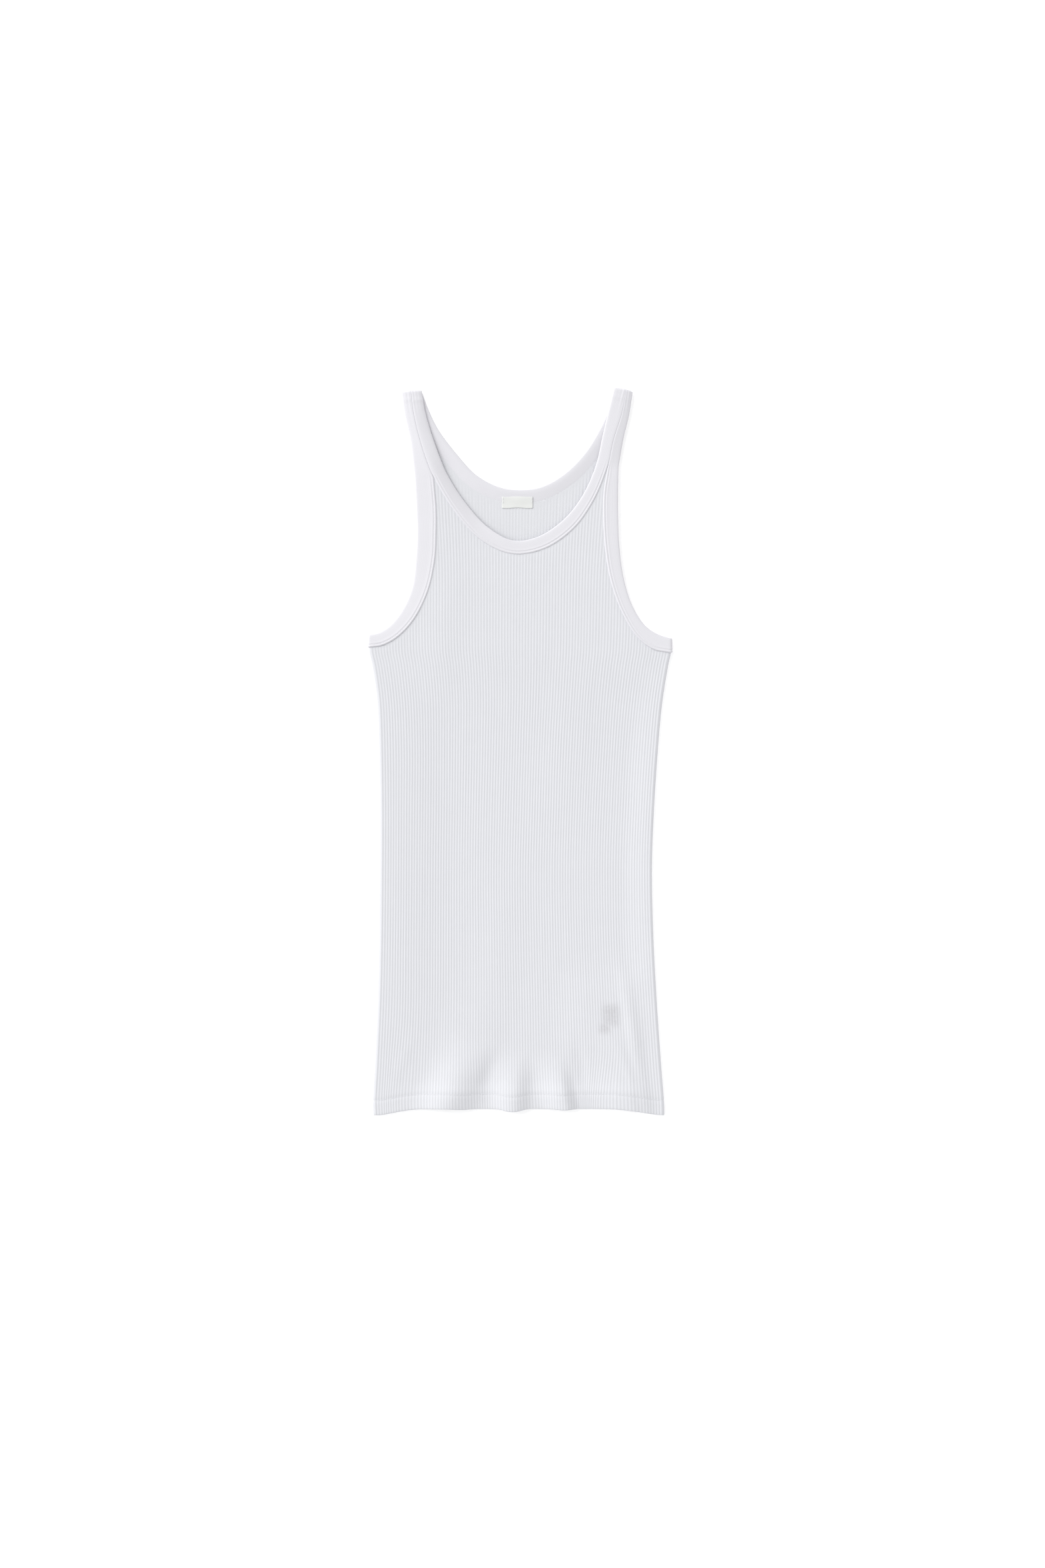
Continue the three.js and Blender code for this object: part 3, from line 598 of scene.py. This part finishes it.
def wall_mesh(name, lines, bands, points_at, outer_rows, inner_rows):
    """A wall of cloth: an outer and an inner face, joined at the hem, the top and the side seams."""
    place = np.linspace(-1, 1, RIB_COUNT * SAMPLES_PER_RIB + 1)
    side, _, inward, centre = across_body(place, np.full(place.shape, HEM_Y))
    hem = hem_line(centre - side * inward)
    top = top_of(place, lines)
    points, faces, starts, tops, knit = [], [], [], [], []
    for rows in (outer_rows, inner_rows):
        grid, kept = column_points(points_at, bands, place, hem, top, rows)
        start = np.r_[0, np.cumsum(kept + 1)] + sum(len(part) for part in points)
        columns = [np.vstack([grid[: kept[i], i], grid[-1:, i]]) for i in range(len(place))]
        points.append(np.vstack(columns))
        knit.append(np.repeat((place + 1) / 2 * RIB_COUNT, kept + 1))
        starts.append(start[:-1])
        tops.append(start[:-1] + kept)
        face = side_faces(start, kept)
        faces += face if rows is outer_rows else [corners[::-1] for corners in face]
    for i in range(len(place) - 1):
        faces.append((tops[0][i], tops[0][i + 1], tops[1][i + 1], tops[1][i]))
        faces.append((starts[0][i + 1], starts[0][i], starts[1][i], starts[1][i + 1]))
    points = np.vstack(points)
    for column, step in ((0, 1), (-1, -1)):
        outer, inner = (range(start[column], top[column] + 1) for start, top in zip(starts, tops))
        faces += [corners[::step] for corners in zipped(outer, inner, points[:, 1])]
    uv = np.column_stack([np.concatenate(knit), points[:, 1]])
    return cloth_object(name, points, faces, uv)


def row(height, depth=0.0, rib=1.0):
    return {"height": height, "depth": depth, "rib": rib}


# Bindings


def band_rings(free, seam, strap, from_shoulder, drop, fall):
    """Section points of each ring in plan, and their heights above the binding's base."""
    across = seam - free
    width = np.linalg.norm(across, axis=1, keepdims=True)
    across = across / width
    same = np.zeros_like(width)
    from_free = [point["in_from"] + same for point in BAND_FREE_EDGE]
    up = [point["up"] + same for point in BAND_FREE_EDGE]
    narrow = np.minimum(1, width / FULL_WIDTH)
    start, end = BAND_FREE_EDGE[-1]["in_from"], BAND_STITCHING[0]["in_from"] * narrow
    for part in BAND_MIDDLE_SHARES:
        from_free.append(start + (width - start - end) * part)
        up.append(BINDING + same)
    for point in BAND_STITCHING:
        from_free.append(width - point["in_from"] * narrow + STRAP_CLOSING * strap[:, None])
        up.append(point["up"] + (point["on_strap"] - point["up"]) * strap[:, None])
    for point in BAND_INSIDE:
        from_free.append(point["in_from"] + same)
        up.append(point["up"] + same)
    from_free, up = np.hstack(from_free), np.hstack(up)
    top_share = smooth_step(0.3, 1.8, up)
    below = from_shoulder[:, None]
    ridge = SHOULDER_SEAM["rise"] * bell(below - SHOULDER_SEAM["below"], SHOULDER_SEAM["half"])
    gathers = np.cos(2 * np.pi * from_free / SHOULDER_GATHERS["pitch"])
    gathers = SHOULDER_GATHERS["rise"] * gathers * (1 - smooth_step(0, SHOULDER_GATHERS["reach"], below))
    up = up + (ridge + gathers - drop[:, None] * np.clip(1 - from_free / width, 0, 1) ** fall[:, None]) * top_share
    plan = free[:, None, :] + across[:, None, :] * from_free[:, :, None]
    return plan, up


RING_KEYS = ("free", "seam", "strap", "from_shoulder", "drop", "fall")


def flat_rings(band, on_back):
    plan, up = band_rings(*(band[key] for key in RING_KEYS))
    middle = (band["free"] + band["seam"]) / 2
    if on_back:
        z = np.maximum(BINDING - up, RESTING)
    else:
        width = np.linalg.norm(band["seam"] - band["free"], axis=1)[:, None]
        to_seam = np.linalg.norm(plan - band["seam"][:, None], axis=2) / width
        z = (front_level(middle[:, 0], middle[:, 1]) - PANEL_IN_BINDING)[:, None] + up
        z = z - band["sink"][:, None] * smooth_step(0.15, 1, to_seam)
    return np.concatenate([plan, z[:, :, None]], -1)


def fold_rings(band, i, outward_direction):
    """Rings that carry a binding over a fold, from the front layer to the back layer."""
    plan, up = band_rings(*(band[key][i : i + 1] for key in RING_KEYS))
    angle = np.linspace(0, math.pi, FOLD_RINGS + 1)[1:-1, None]
    radius = LAYER_GAP / 2 + up
    reach = radius * np.sin(angle)
    x = plan[:, :, 0] + outward_direction[0] * reach
    y = plan[:, :, 1] + outward_direction[1] * reach
    z = np.maximum(FOLD_HEIGHT / 2 + radius * np.cos(angle), RESTING)
    return np.stack([x, y, z], -1)


def binding_mesh(name, front, back, first_fold, last_fold):
    """A closed loop of binding: front layer, fold, back layer and fold."""
    last = len(front["free"]) - 1
    rings = np.concatenate(
        [
            flat_rings(front, False),
            fold_rings(front, last, first_fold),
            flat_rings(back, True)[::-1],
            fold_rings(back, 0, last_fold)[::-1],
        ]
    )
    along = distance_along(rings.mean(1))
    around = np.linalg.norm(np.diff(rings, axis=1), axis=2).cumsum(1)
    around = np.hstack([np.zeros((len(rings), 1)), around])
    uv = np.stack([around, np.broadcast_to(along[:, None], around.shape)], -1)
    return grid_mesh(name, rings, uv, close_columns=True)


def distance_along(line):
    return np.r_[0, np.cumsum(np.linalg.norm(np.diff(line, axis=0), axis=1))]


def neck_edges(rows, tips):
    """Free and stitched edge of the neck strip, and where it is on a strap."""
    free = smooth_line([r["free"] for r in rows], RINGS_PER_ROW)
    seam = smooth_line([r["seam"] for r in rows], RINGS_PER_ROW)
    ring = np.arange(len(free))
    left_tip, right_tip = (tips[side] * RINGS_PER_ROW for side in ("left", "right"))
    from_tip = np.maximum(left_tip - ring, ring - right_tip)
    strap = smooth_step(-TIP_BLEND, TIP_BLEND, from_tip)
    along = distance_along(free)
    to_right = smooth_step(-58, -12, free[:, 0])
    low_drop, strap_drop = (
        drops["neck_left"] + (drops["neck_right"] - drops["neck_left"]) * to_right
        for drops in (DROPS, STRAP_DROPS)
    )
    low_sink, strap_sink = (
        sinks["left"] + (sinks["right"] - sinks["left"]) * to_right for sinks in (NECK_SINKS, STRAP_SINKS)
    )
    low = 1 - smooth_step(SINK_CHANGE["from_y"], SINK_CHANGE["to_y"], free[:, 1])
    return {
        "free": free,
        "seam": seam,
        "strap": strap,
        "from_shoulder": np.minimum(along, along[-1] - along),
        "drop": low_drop + (strap_drop - low_drop) * strap,
        "fall": NECK_FALL - (NECK_FALL - 1) * to_right,
        "sink": low_sink * low + strap_sink * (1 - low) * smooth_step(4, 40, 340 - free[:, 1]),
    }


neck_front = neck_edges(NECK_FRONT, NECK_FRONT_TIPS)
neck_back = neck_edges(NECK_BACK, NECK_BACK_TIPS)


def armhole_edges(neck, tips, side, face):
    """Free and stitched edge of an armhole strip: beside the neck strip on the strap, then alone."""
    tip = tips[side] * RINGS_PER_ROW
    if side == "left":
        free, seam = neck["free"][: tip + 1], neck["seam"][: tip + 1]
    else:
        free, seam = neck["free"][tip:][::-1], neck["seam"][tip:][::-1]
    away = (seam - free) / np.linalg.norm(seam - free, axis=1, keepdims=True)
    strap_seam = seam + away * SEAM_GAP
    key = side + "_" + face
    strap_free = smooth_line(STRAP_EDGES[key], RINGS_PER_ROW)
    rest = [{"free": strap_free[-1], "seam": strap_seam[-1]}, *ARMHOLES[key]]
    rest_free = smooth_line([r["free"] for r in rest], RINGS_PER_ROW)
    rest_seam = smooth_line([r["seam"] for r in rest], RINGS_PER_ROW)
    tip = len(strap_seam) - 1
    arm_free = np.vstack([strap_free, rest_free[1:]])
    strap = smooth_step(-TIP_BLEND, TIP_BLEND, tip - np.arange(len(arm_free)))
    return {
        "free": arm_free,
        "seam": np.vstack([strap_seam, rest_seam[1:]]),
        "strap": strap,
        "drop": DROPS[side] + (STRAP_DROPS[side] - DROPS[side]) * strap,
        "fall": 1 + 0 * strap,
        "from_shoulder": distance_along(arm_free),
        "sink": np.zeros(len(arm_free)),
        "tip": tip,
    }


def upper_lines(left, neck, right):
    """The panel's three upper edges inside its bindings, as places and heights on the body."""
    lines = []
    for band, start in ((left, left["tip"]), (neck, 0), (right, right["tip"])):
        across = band["free"] - band["seam"]
        across = across / np.linalg.norm(across, axis=1, keepdims=True)
        edge = (band["seam"] + TUCK * across)[start:]
        lines.append(list(zip(place_of(edge[:, 0], edge[:, 1]), edge[:, 1])))
    lines[0].append((-1, lines[0][-1][1]))
    lines[2].append((1, lines[2][-1][1]))
    return lines


arms = {
    (side, face): armhole_edges(neck, tips, side, face)
    for side in ("left", "right")
    for face, neck, tips in (("front", neck_front, NECK_FRONT_TIPS), ("back", neck_back, NECK_BACK_TIPS))
}
front_bands = (arms["left", "front"], neck_front, arms["right", "front"])
back_bands = (arms["left", "back"], neck_back, arms["right", "back"])
front_lines = upper_lines(*front_bands)
back_lines = upper_lines(*back_bands)


# Panels

ROUNDED_EDGE = [(0.0, 1.0), (0.15, 0.5), (0.5, 0.2), (1.1, 0.03)]
HEM_SEAM = [(-1.4, 0.0, 0.95), (-0.7, 0.14, 0.7), (0.0, 0.22, 0.55), (0.7, 0.14, 0.7), (1.5, 0.0, 0.95)]
LEAST_ROW = 0.8
BINDINGS_ABOVE = 82
BODY_HEIGHT = 690


def outer_rows(body_heights):
    """Rows of an outer face: the rounded edge, the hem, its stitching and the body."""
    rows = [row(height, depth, 0.8) for height, depth in ROUNDED_EDGE]
    rows += [row(height) for height in (2.5, 5, 7.5, 10)]
    rows += [row(HEM_HEIGHT + offset, depth, rib) for offset, depth, rib in HEM_SEAM]
    return rows + [row(height) for height in body_heights]


def inner_rows(body_heights, rib):
    rows = [row(height, HEM_CLOTH - depth, 0) for height, depth in ROUNDED_EDGE[1:]]
    rows += [row(7, HEM_CLOTH, 0), row(HEM_HEIGHT - 0.6, HEM_CLOTH, 0), row(HEM_HEIGHT + 0.6, CLOTH, 0)]
    return rows + [row(height, CLOTH, rib) for height in body_heights]


near_hem = [18, 21, 25, 29, 34, 39, 45, 51, 57, 64, 71, 79, 88, 98, 109]
front_cloth = wall_mesh(
    "front_cloth",
    front_lines,
    front_bands,
    front_points,
    outer_rows([*near_hem, *np.arange(120, 420, 9), *np.arange(420, BODY_HEIGHT, 4)]),
    inner_rows([30, 50, 75, 105, 140, *np.arange(170, 430, 12), *np.arange(430, BODY_HEIGHT, 16)], 0),
)
back_cloth = wall_mesh(
    "back_cloth",
    back_lines,
    back_bands,
    back_points,
    outer_rows([25, 45, 75, *np.arange(100, 360, 20), *np.arange(360, BODY_HEIGHT, 10)]),
    inner_rows([30, 75, *np.arange(100, 360, 20), *np.arange(360, 510, 10), *np.arange(514, BODY_HEIGHT, 5)], 1),
)
neck_band = binding_mesh("neck_band", neck_front, neck_back, SHOULDER["right"], SHOULDER["left"])
arm_bands = {
    side: binding_mesh(
        "armhole_band_" + side,
        arms[side, "front"],
        arms[side, "back"],
        SIDE[side],
        SHOULDER[side],
    )
    for side in ("left", "right")
}


# Thread

STITCH_LENGTH = 2.5
STITCH_PITCH = 3.1
STITCH_WIDTH = 0.34
STITCH_SECTION = [(-1.0, 0.0), (-0.92, 0.6), (-0.5, 1.0), (0.5, 1.0), (0.92, 0.6), (1.0, 0.0)]
STITCH_SIDES = 6


def stitches(line):
    """Middle and direction of each stitch along a line of points."""
    length = distance_along(line)
    at = np.arange(STITCH_PITCH / 2, length[-1] - STITCH_PITCH / 2, STITCH_PITCH)
    ends = [np.stack([np.interp(at + d, length, line[:, k]) for k in range(3)], -1) for d in (-1.2, 1.2)]
    return list(zip((ends[0] + ends[1]) / 2, ends[1] - ends[0]))


def thread_mesh(name, places):
    """All the stitches of a line as small rounded lengths of thread."""
    points, faces = [], []
    for middle, direction in places:
        along = direction / np.linalg.norm(direction)
        beside = np.cross(along, (0, 0, 1))
        beside /= np.linalg.norm(beside)
        over = np.cross(beside, along)
        first = len(points)
        for reach, thickness in STITCH_SECTION:
            for k in range(STITCH_SIDES):
                turn = 2 * math.pi * k / STITCH_SIDES
                out = (beside * math.cos(turn) + over * math.sin(turn)) * thickness * STITCH_WIDTH / 2
                points.append(middle + along * reach * STITCH_LENGTH / 2 + out)
        for i in range(len(STITCH_SECTION) - 1):
            for k in range(STITCH_SIDES):
                here, following = first + i * STITCH_SIDES, (k + 1) % STITCH_SIDES
                faces.append(
                    (here + k, here + following, here + STITCH_SIDES + following, here + STITCH_SIDES + k)
                )
    mesh = bpy.data.meshes.new(name)
    mesh.from_pydata((np.array(points) * MM).tolist(), [], faces)
    mesh.polygons.foreach_set("use_smooth", [True] * len(faces))
    mesh.update()
    piece = bpy.data.objects.new(name, mesh)
    bpy.context.scene.collection.objects.link(piece)
    return piece


def binding_stitch_line(band, on_back):
    """The groove of the stitching where the binding leaves the straps."""
    away_from_strap = band["strap"] < 0.3
    free, seam = band["free"][away_from_strap], band["seam"][away_from_strap]
    across = (free - seam) / np.linalg.norm(free - seam, axis=1, keepdims=True)
    plan = seam + across * STITCH_LINE["in_from"]
    middle = (free + seam) / 2
    base = front_level(middle[:, 0], middle[:, 1]) - PANEL_IN_BINDING
    z = BINDING - STITCH_LINE["up"] if on_back else base + STITCH_LINE["up"]
    return np.column_stack([plan, z + 0 * plan[:, 0]])


def hem_stitch_line(points_at, depth):
    place = np.linspace(-0.985, 0.985, 240)
    side, _, inward, centre = across_body(place, np.full(place.shape, HEM_Y))
    y = hem_line(centre - side * inward) + HEM_HEIGHT
    return points_at(place, y, depth, 0)


BAR_TACK = {"x": -135.5, "y": 93.5, "length": 3.2, "rows": 4, "pitch": 0.8}


def bar_tack_places():
    z = float(front_points(np.array([-0.96]), np.array([BAR_TACK["y"]]), 0, 1)[0, 2])
    rows = range(BAR_TACK["rows"])
    return [
        (np.array([BAR_TACK["x"], BAR_TACK["y"] - i * BAR_TACK["pitch"], z]), np.array([1, 0.12, 0.0]))
        for i in rows
    ]


threads = {
    "neck_stitches": (
        stitches(binding_stitch_line(neck_front, False)) + stitches(binding_stitch_line(neck_back, True))
    ),
    "hem_stitches_front": stitches(hem_stitch_line(front_points, 0.05)),
    "hem_stitches_back": stitches(hem_stitch_line(back_points, 0.2)),
    "bar_tack": bar_tack_places(),
}
for side in ("left", "right"):
    threads["armhole_stitches_" + side] = [
        *stitches(binding_stitch_line(arms[side, "front"], False)),
        *stitches(binding_stitch_line(arms[side, "back"], True)),
    ]
thread_pieces = {name: thread_mesh(name, places) for name, places in threads.items()}


# Labels


def label_mesh(name, size, follow):
    """A thin woven strip, pressed down at its stitched ends and slightly full between them."""
    columns, rows = 48, 18
    u = np.linspace(-0.5, 0.5, columns)
    v = np.linspace(-0.5, 0.5, rows)
    grid_u, grid_v = np.meshgrid(u, v)
    x = size["x"] + grid_u * size["width"]
    y = size["y"] + grid_v * size["height"] + 0.25 * np.cos(grid_u * 9)
    full = 0.3 * np.cos(np.pi * grid_u) ** 2 * (1 - (2 * grid_v) ** 2)
    z = size["z"] + follow(y) + full
    outer = np.stack([x, y, z], -1)
    inner = outer - (0, 0, size["thickness"])
    points = np.vstack([outer, inner[::-1]])
    uv = np.stack([points[:, :, 0], points[:, :, 1]], -1)
    return grid_mesh(name, points, uv, caps=True)


def over_back_band(y):
    """The neck label lies on the band, then slopes down to the ribs below it."""
    return -0.75 * smooth_step(239, 230, y)


neck_label = label_mesh("neck_label_cloth", NECK_LABEL, over_back_band)
care_label = label_mesh("care_label_cloth", CARE_LABEL, lambda y: 0 * y)
LABEL_END_INSET = 1.1
label_end_stitches = thread_mesh(
    "neck_label_stitches",
    [
        (
            np.array([NECK_LABEL["x"] + end * (NECK_LABEL["width"] / 2 - LABEL_END_INSET), y, NECK_LABEL["z"] + z]),
            np.array([0.0, 1.0, 0.0]),
        )
        for end in (-1, 1)
        for y, z in ((236.6, over_back_band(236.6) + 0.06), (233.6, over_back_band(233.6) + 0.06))
    ],
)


# Materials


def new_material(name, roughness, sheen):
    material = bpy.data.materials.new(name)
    material.use_nodes = True
    tree = material.node_tree
    shader = next(node for node in tree.nodes if node.type == "BSDF_PRINCIPLED")
    shader.inputs["Roughness"].default_value = roughness
    shader.inputs["Specular IOR Level"].default_value = 0.25
    shader.inputs["Sheen Weight"].default_value = sheen
    shader.inputs["Sheen Roughness"].default_value = 0.6
    return material, tree, shader


def math_node(tree, operation, *values):
    node = tree.nodes.new("ShaderNodeMath")
    node.operation = operation
    for i, value in enumerate(values):
        if isinstance(value, (int, float)):
            node.inputs[i].default_value = value
        else:
            tree.links.new(value, node.inputs[i])
    return node.outputs[0]


def noise_node(tree, vector, scale, detail):
    node = tree.nodes.new("ShaderNodeTexNoise")
    tree.links.new(vector, node.inputs["Vector"])
    node.inputs["Scale"].default_value = scale
    node.inputs["Detail"].default_value = detail
    return node.outputs["Factor"] if "Factor" in node.outputs else node.outputs["Fac"]


def mixed_colour(tree, factor, dark, light):
    node = tree.nodes.new("ShaderNodeMix")
    node.data_type = "RGBA"
    tree.links.new(factor, node.inputs["Factor"])
    colour_a, colour_b = [i for i in node.inputs if i.type == "RGBA"]
    for socket, colour in ((colour_a, dark), (colour_b, light)):
        if isinstance(colour, tuple):
            socket.default_value = (*colour, 1)
        else:
            tree.links.new(colour, socket)
    return next(o for o in node.outputs if o.type == "RGBA")


def add_bump(tree, shader, height, strength, distance):
    node = tree.nodes.new("ShaderNodeBump")
    node.inputs["Strength"].default_value = strength
    node.inputs["Distance"].default_value = distance
    tree.links.new(height, node.inputs["Height"])
    tree.links.new(node.outputs["Normal"], shader.inputs["Normal"])


def knit_height(tree, wale, course, slant):
    """V-shaped loops in columns: wale and course are a loop's width and height in the map's units."""
    knit = tree.nodes.new("ShaderNodeUVMap")
    knit.uv_map = "knit"
    axes = tree.nodes.new("ShaderNodeSeparateXYZ")
    tree.links.new(knit.outputs["UV"], axes.inputs["Vector"])
    across = math_node(tree, "FRACT", math_node(tree, "DIVIDE", axes.outputs["X"], wale))
    from_middle = math_node(tree, "ABSOLUTE", math_node(tree, "SUBTRACT", across, 0.5))
    up = math_node(tree, "DIVIDE", axes.outputs["Y"], course)
    phase = math_node(tree, "ADD", up, math_node(tree, "MULTIPLY", from_middle, slant))
    loops = math_node(tree, "SINE", math_node(tree, "MULTIPLY", phase, 2 * math.pi))
    column = math_node(tree, "COSINE", math_node(tree, "MULTIPLY", from_middle, 2 * math.pi))
    legs = math_node(tree, "MULTIPLY", loops, math_node(tree, "SUBTRACT", 1.0, column))
    return math_node(tree, "ADD", math_node(tree, "MULTIPLY", legs, 0.4), column)


def place_vector(tree):
    return tree.nodes.new("ShaderNodeTexCoord").outputs["Object"]


def patch(tree, vector, x, y, half_x, half_y, soft):
    """1 inside a soft-edged rectangle on the front, in metres, and 0 outside it."""
    axes = tree.nodes.new("ShaderNodeSeparateXYZ")
    tree.links.new(vector, axes.inputs["Vector"])
    inside = []
    for socket, middle, half in (("X", x, half_x), ("Y", y, half_y)):
        away = math_node(tree, "ABSOLUTE", math_node(tree, "SUBTRACT", axes.outputs[socket], middle))
        step = tree.nodes.new("ShaderNodeMapRange")
        step.interpolation_type = "SMOOTHSTEP"
        step.inputs["From Min"].default_value = half - soft
        step.inputs["From Max"].default_value = half + soft
        step.inputs["To Min"].default_value = 1
        step.inputs["To Max"].default_value = 0
        tree.links.new(away, step.inputs["Value"])
        inside.append(step.outputs["Result"])
    return math_node(tree, "MULTIPLY", *inside)


def rib_material(name, dark, light, label_shade):
    material, tree, shader = new_material(name, 0.9, 0.12)
    vector = place_vector(tree)
    knit = tree.nodes.new("ShaderNodeUVMap")
    knit.uv_map = "knit"
    stretch = tree.nodes.new("ShaderNodeMapping")
    stretch.inputs["Scale"].default_value = (2.1, 0.16, 1)
    tree.links.new(knit.outputs["UV"], stretch.inputs["Vector"])
    streaks = noise_node(tree, stretch.outputs["Vector"], 1, 2)
    blotches = noise_node(tree, vector, 60, 3)
    colour = mixed_colour(tree, math_node(tree, "ADD", math_node(tree, "MULTIPLY", streaks, 0.6),
                                          math_node(tree, "MULTIPLY", blotches, 0.4)), dark, light)
    if label_shade:
        block = patch(tree, vector, 0.0852, -0.2478, 0.0078, 0.01, 0.005)
        corner = patch(tree, vector, 0.0795, -0.2595, 0.0052, 0.0048, 0.0042)
        spot = math_node(tree, "MAXIMUM", block, corner)
        grain = math_node(tree, "MULTIPLY", spot, math_node(tree, "ADD", noise_node(tree, vector, 420, 2), 0.16))
        colour = mixed_colour(tree, grain, colour, label_shade)
    tree.links.new(colour, shader.inputs["Base Color"])
    fibres = math_node(tree, "MULTIPLY", noise_node(tree, vector, 2400, 4), 0.8)
    height = math_node(tree, "ADD", knit_height(tree, 1.0, 1.35, 0.9), fibres)
    add_bump(tree, shader, height, 0.3, 0.00012)
    return material


def jersey_material(name, dark, light):
    material, tree, shader = new_material(name, 0.88, 0.1)
    vector = place_vector(tree)
    tree.links.new(mixed_colour(tree, noise_node(tree, vector, 80, 3), dark, light), shader.inputs["Base Color"])
    fibres = math_node(tree, "MULTIPLY", noise_node(tree, vector, 2600, 4), 0.7)
    height = math_node(tree, "ADD", knit_height(tree, 0.85, 0.8, 0.8), fibres)
    add_bump(tree, shader, height, 0.22, 0.00008)
    return material


def satin_material(name, dark, light):
    material, tree, shader = new_material(name, 0.45, 0.0)
    vector = place_vector(tree)
    tree.links.new(mixed_colour(tree, noise_node(tree, vector, 300, 2), dark, light), shader.inputs["Base Color"])
    weave = tree.nodes.new("ShaderNodeTexWave")
    weave.inputs["Scale"].default_value = 900
    weave.inputs["Distortion"].default_value = 0.4
    tree.links.new(vector, weave.inputs["Vector"])
    add_bump(tree, shader, weave.outputs["Fac"], 0.15, 0.00005)
    return material


def thread_material(name, dark, light):
    material, tree, shader = new_material(name, 0.6, 0.05)
    vector = place_vector(tree)
    tree.links.new(mixed_colour(tree, noise_node(tree, vector, 400, 1), dark, light), shader.inputs["Base Color"])
    add_bump(tree, shader, noise_node(tree, vector, 5000, 2), 0.3, 0.00005)
    return material


def floor_material():
    material, tree, shader = new_material("floor_paper", 0.9, 0.0)
    vector = place_vector(tree)
    grain = mixed_colour(tree, noise_node(tree, vector, 30, 2), (0.955, 0.955, 0.955), (0.965, 0.965, 0.965))
    tree.links.new(grain, shader.inputs["Base Color"])
    shader.inputs["Emission Color"].default_value = (1, 1, 1, 1)
    shader.inputs["Emission Strength"].default_value = FLOOR_GLOW
    return material


cotton_rib = rib_material("cotton_rib", (0.722, 0.729, 0.762), (0.775, 0.782, 0.815), (0.61, 0.61, 0.635))
cotton_rib_back = rib_material("cotton_rib_back", (0.725, 0.732, 0.763), (0.775, 0.782, 0.813), None)
cotton_jersey = jersey_material("cotton_jersey", (0.772, 0.765, 0.803), (0.792, 0.785, 0.822))
label_satin = satin_material("label_satin", (0.80, 0.812, 0.795), (0.83, 0.842, 0.825))
cotton_thread = thread_material("cotton_thread", (0.78, 0.78, 0.81), (0.82, 0.82, 0.85))


# Pieces of the object


def dress(piece, material, slot_name, *nodes):
    piece.data.materials.clear()
    piece.data.materials.append(material)
    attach(piece, "root")
    if nodes:
        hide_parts(*nodes)


dress(front_cloth, cotton_rib, "cotton_rib", "front_panel")
dress(back_cloth, cotton_rib_back, "cotton_rib", "back_panel")
dress(neck_band, cotton_jersey, "cotton_jersey", "neck_binding")
for side, band in arm_bands.items():
    dress(band, cotton_jersey, "cotton_jersey", "armhole_binding_" + side)
dress(neck_label, label_satin, "satin", "neck_label")
dress(care_label, label_satin, "satin", "care_label")
for piece in (*thread_pieces.values(), label_end_stitches):
    dress(piece, cotton_thread, "cotton_jersey")


# Floor, light and camera


def add_floor():
    mesh = bpy.data.meshes.new("floor")
    reach = 400.0
    mesh.from_pydata([(-reach, -reach, 0), (reach, -reach, 0), (reach, reach, 0), (-reach, reach, 0)], [], [(0, 1, 2, 3)])
    mesh.materials.append(floor_material())
    floor = bpy.data.objects.new("floor", mesh)
    bpy.context.scene.collection.objects.link(floor)


def add_key_light(elevation, bearing, spread, strength):
    """A wide soft light; its bearing is where it stands, counted round from +X to +Y."""
    light = bpy.data.lights.new("key", "SUN")
    light.angle = math.radians(spread)
    light.energy = strength
    lamp = bpy.data.objects.new("key", light)
    lamp.rotation_euler = (math.radians(90 - elevation), 0, math.radians(bearing + 90))
    bpy.context.scene.collection.objects.link(lamp)


def add_world(strength):
    world = bpy.data.worlds.new("studio")
    world.use_nodes = True
    background = world.node_tree.nodes["Background"]
    background.inputs["Color"].default_value = (1, 1, 1, 1)
    background.inputs["Strength"].default_value = strength
    bpy.context.scene.world = world


def add_camera():
    camera = bpy.data.cameras.new("camera")
    camera.sensor_fit = "VERTICAL"
    camera.sensor_height = SENSOR_HEIGHT
    camera.lens = SENSOR_HEIGHT * CAMERA_HEIGHT / (MM_PER_PIXEL * FRAME_HEIGHT_PIXELS)
    camera.clip_start = 0.01
    eye = bpy.data.objects.new("camera", camera)
    eye.location = (FRAME_CENTRE[0] * MM, FRAME_CENTRE[1] * MM, CAMERA_HEIGHT * MM)
    bpy.context.scene.collection.objects.link(eye)
    bpy.context.scene.camera = eye


add_floor()
add_world(WORLD_STRENGTH)
add_key_light(**KEY_LIGHT)
add_camera()
bpy.context.scene.view_settings.view_transform = "Standard"
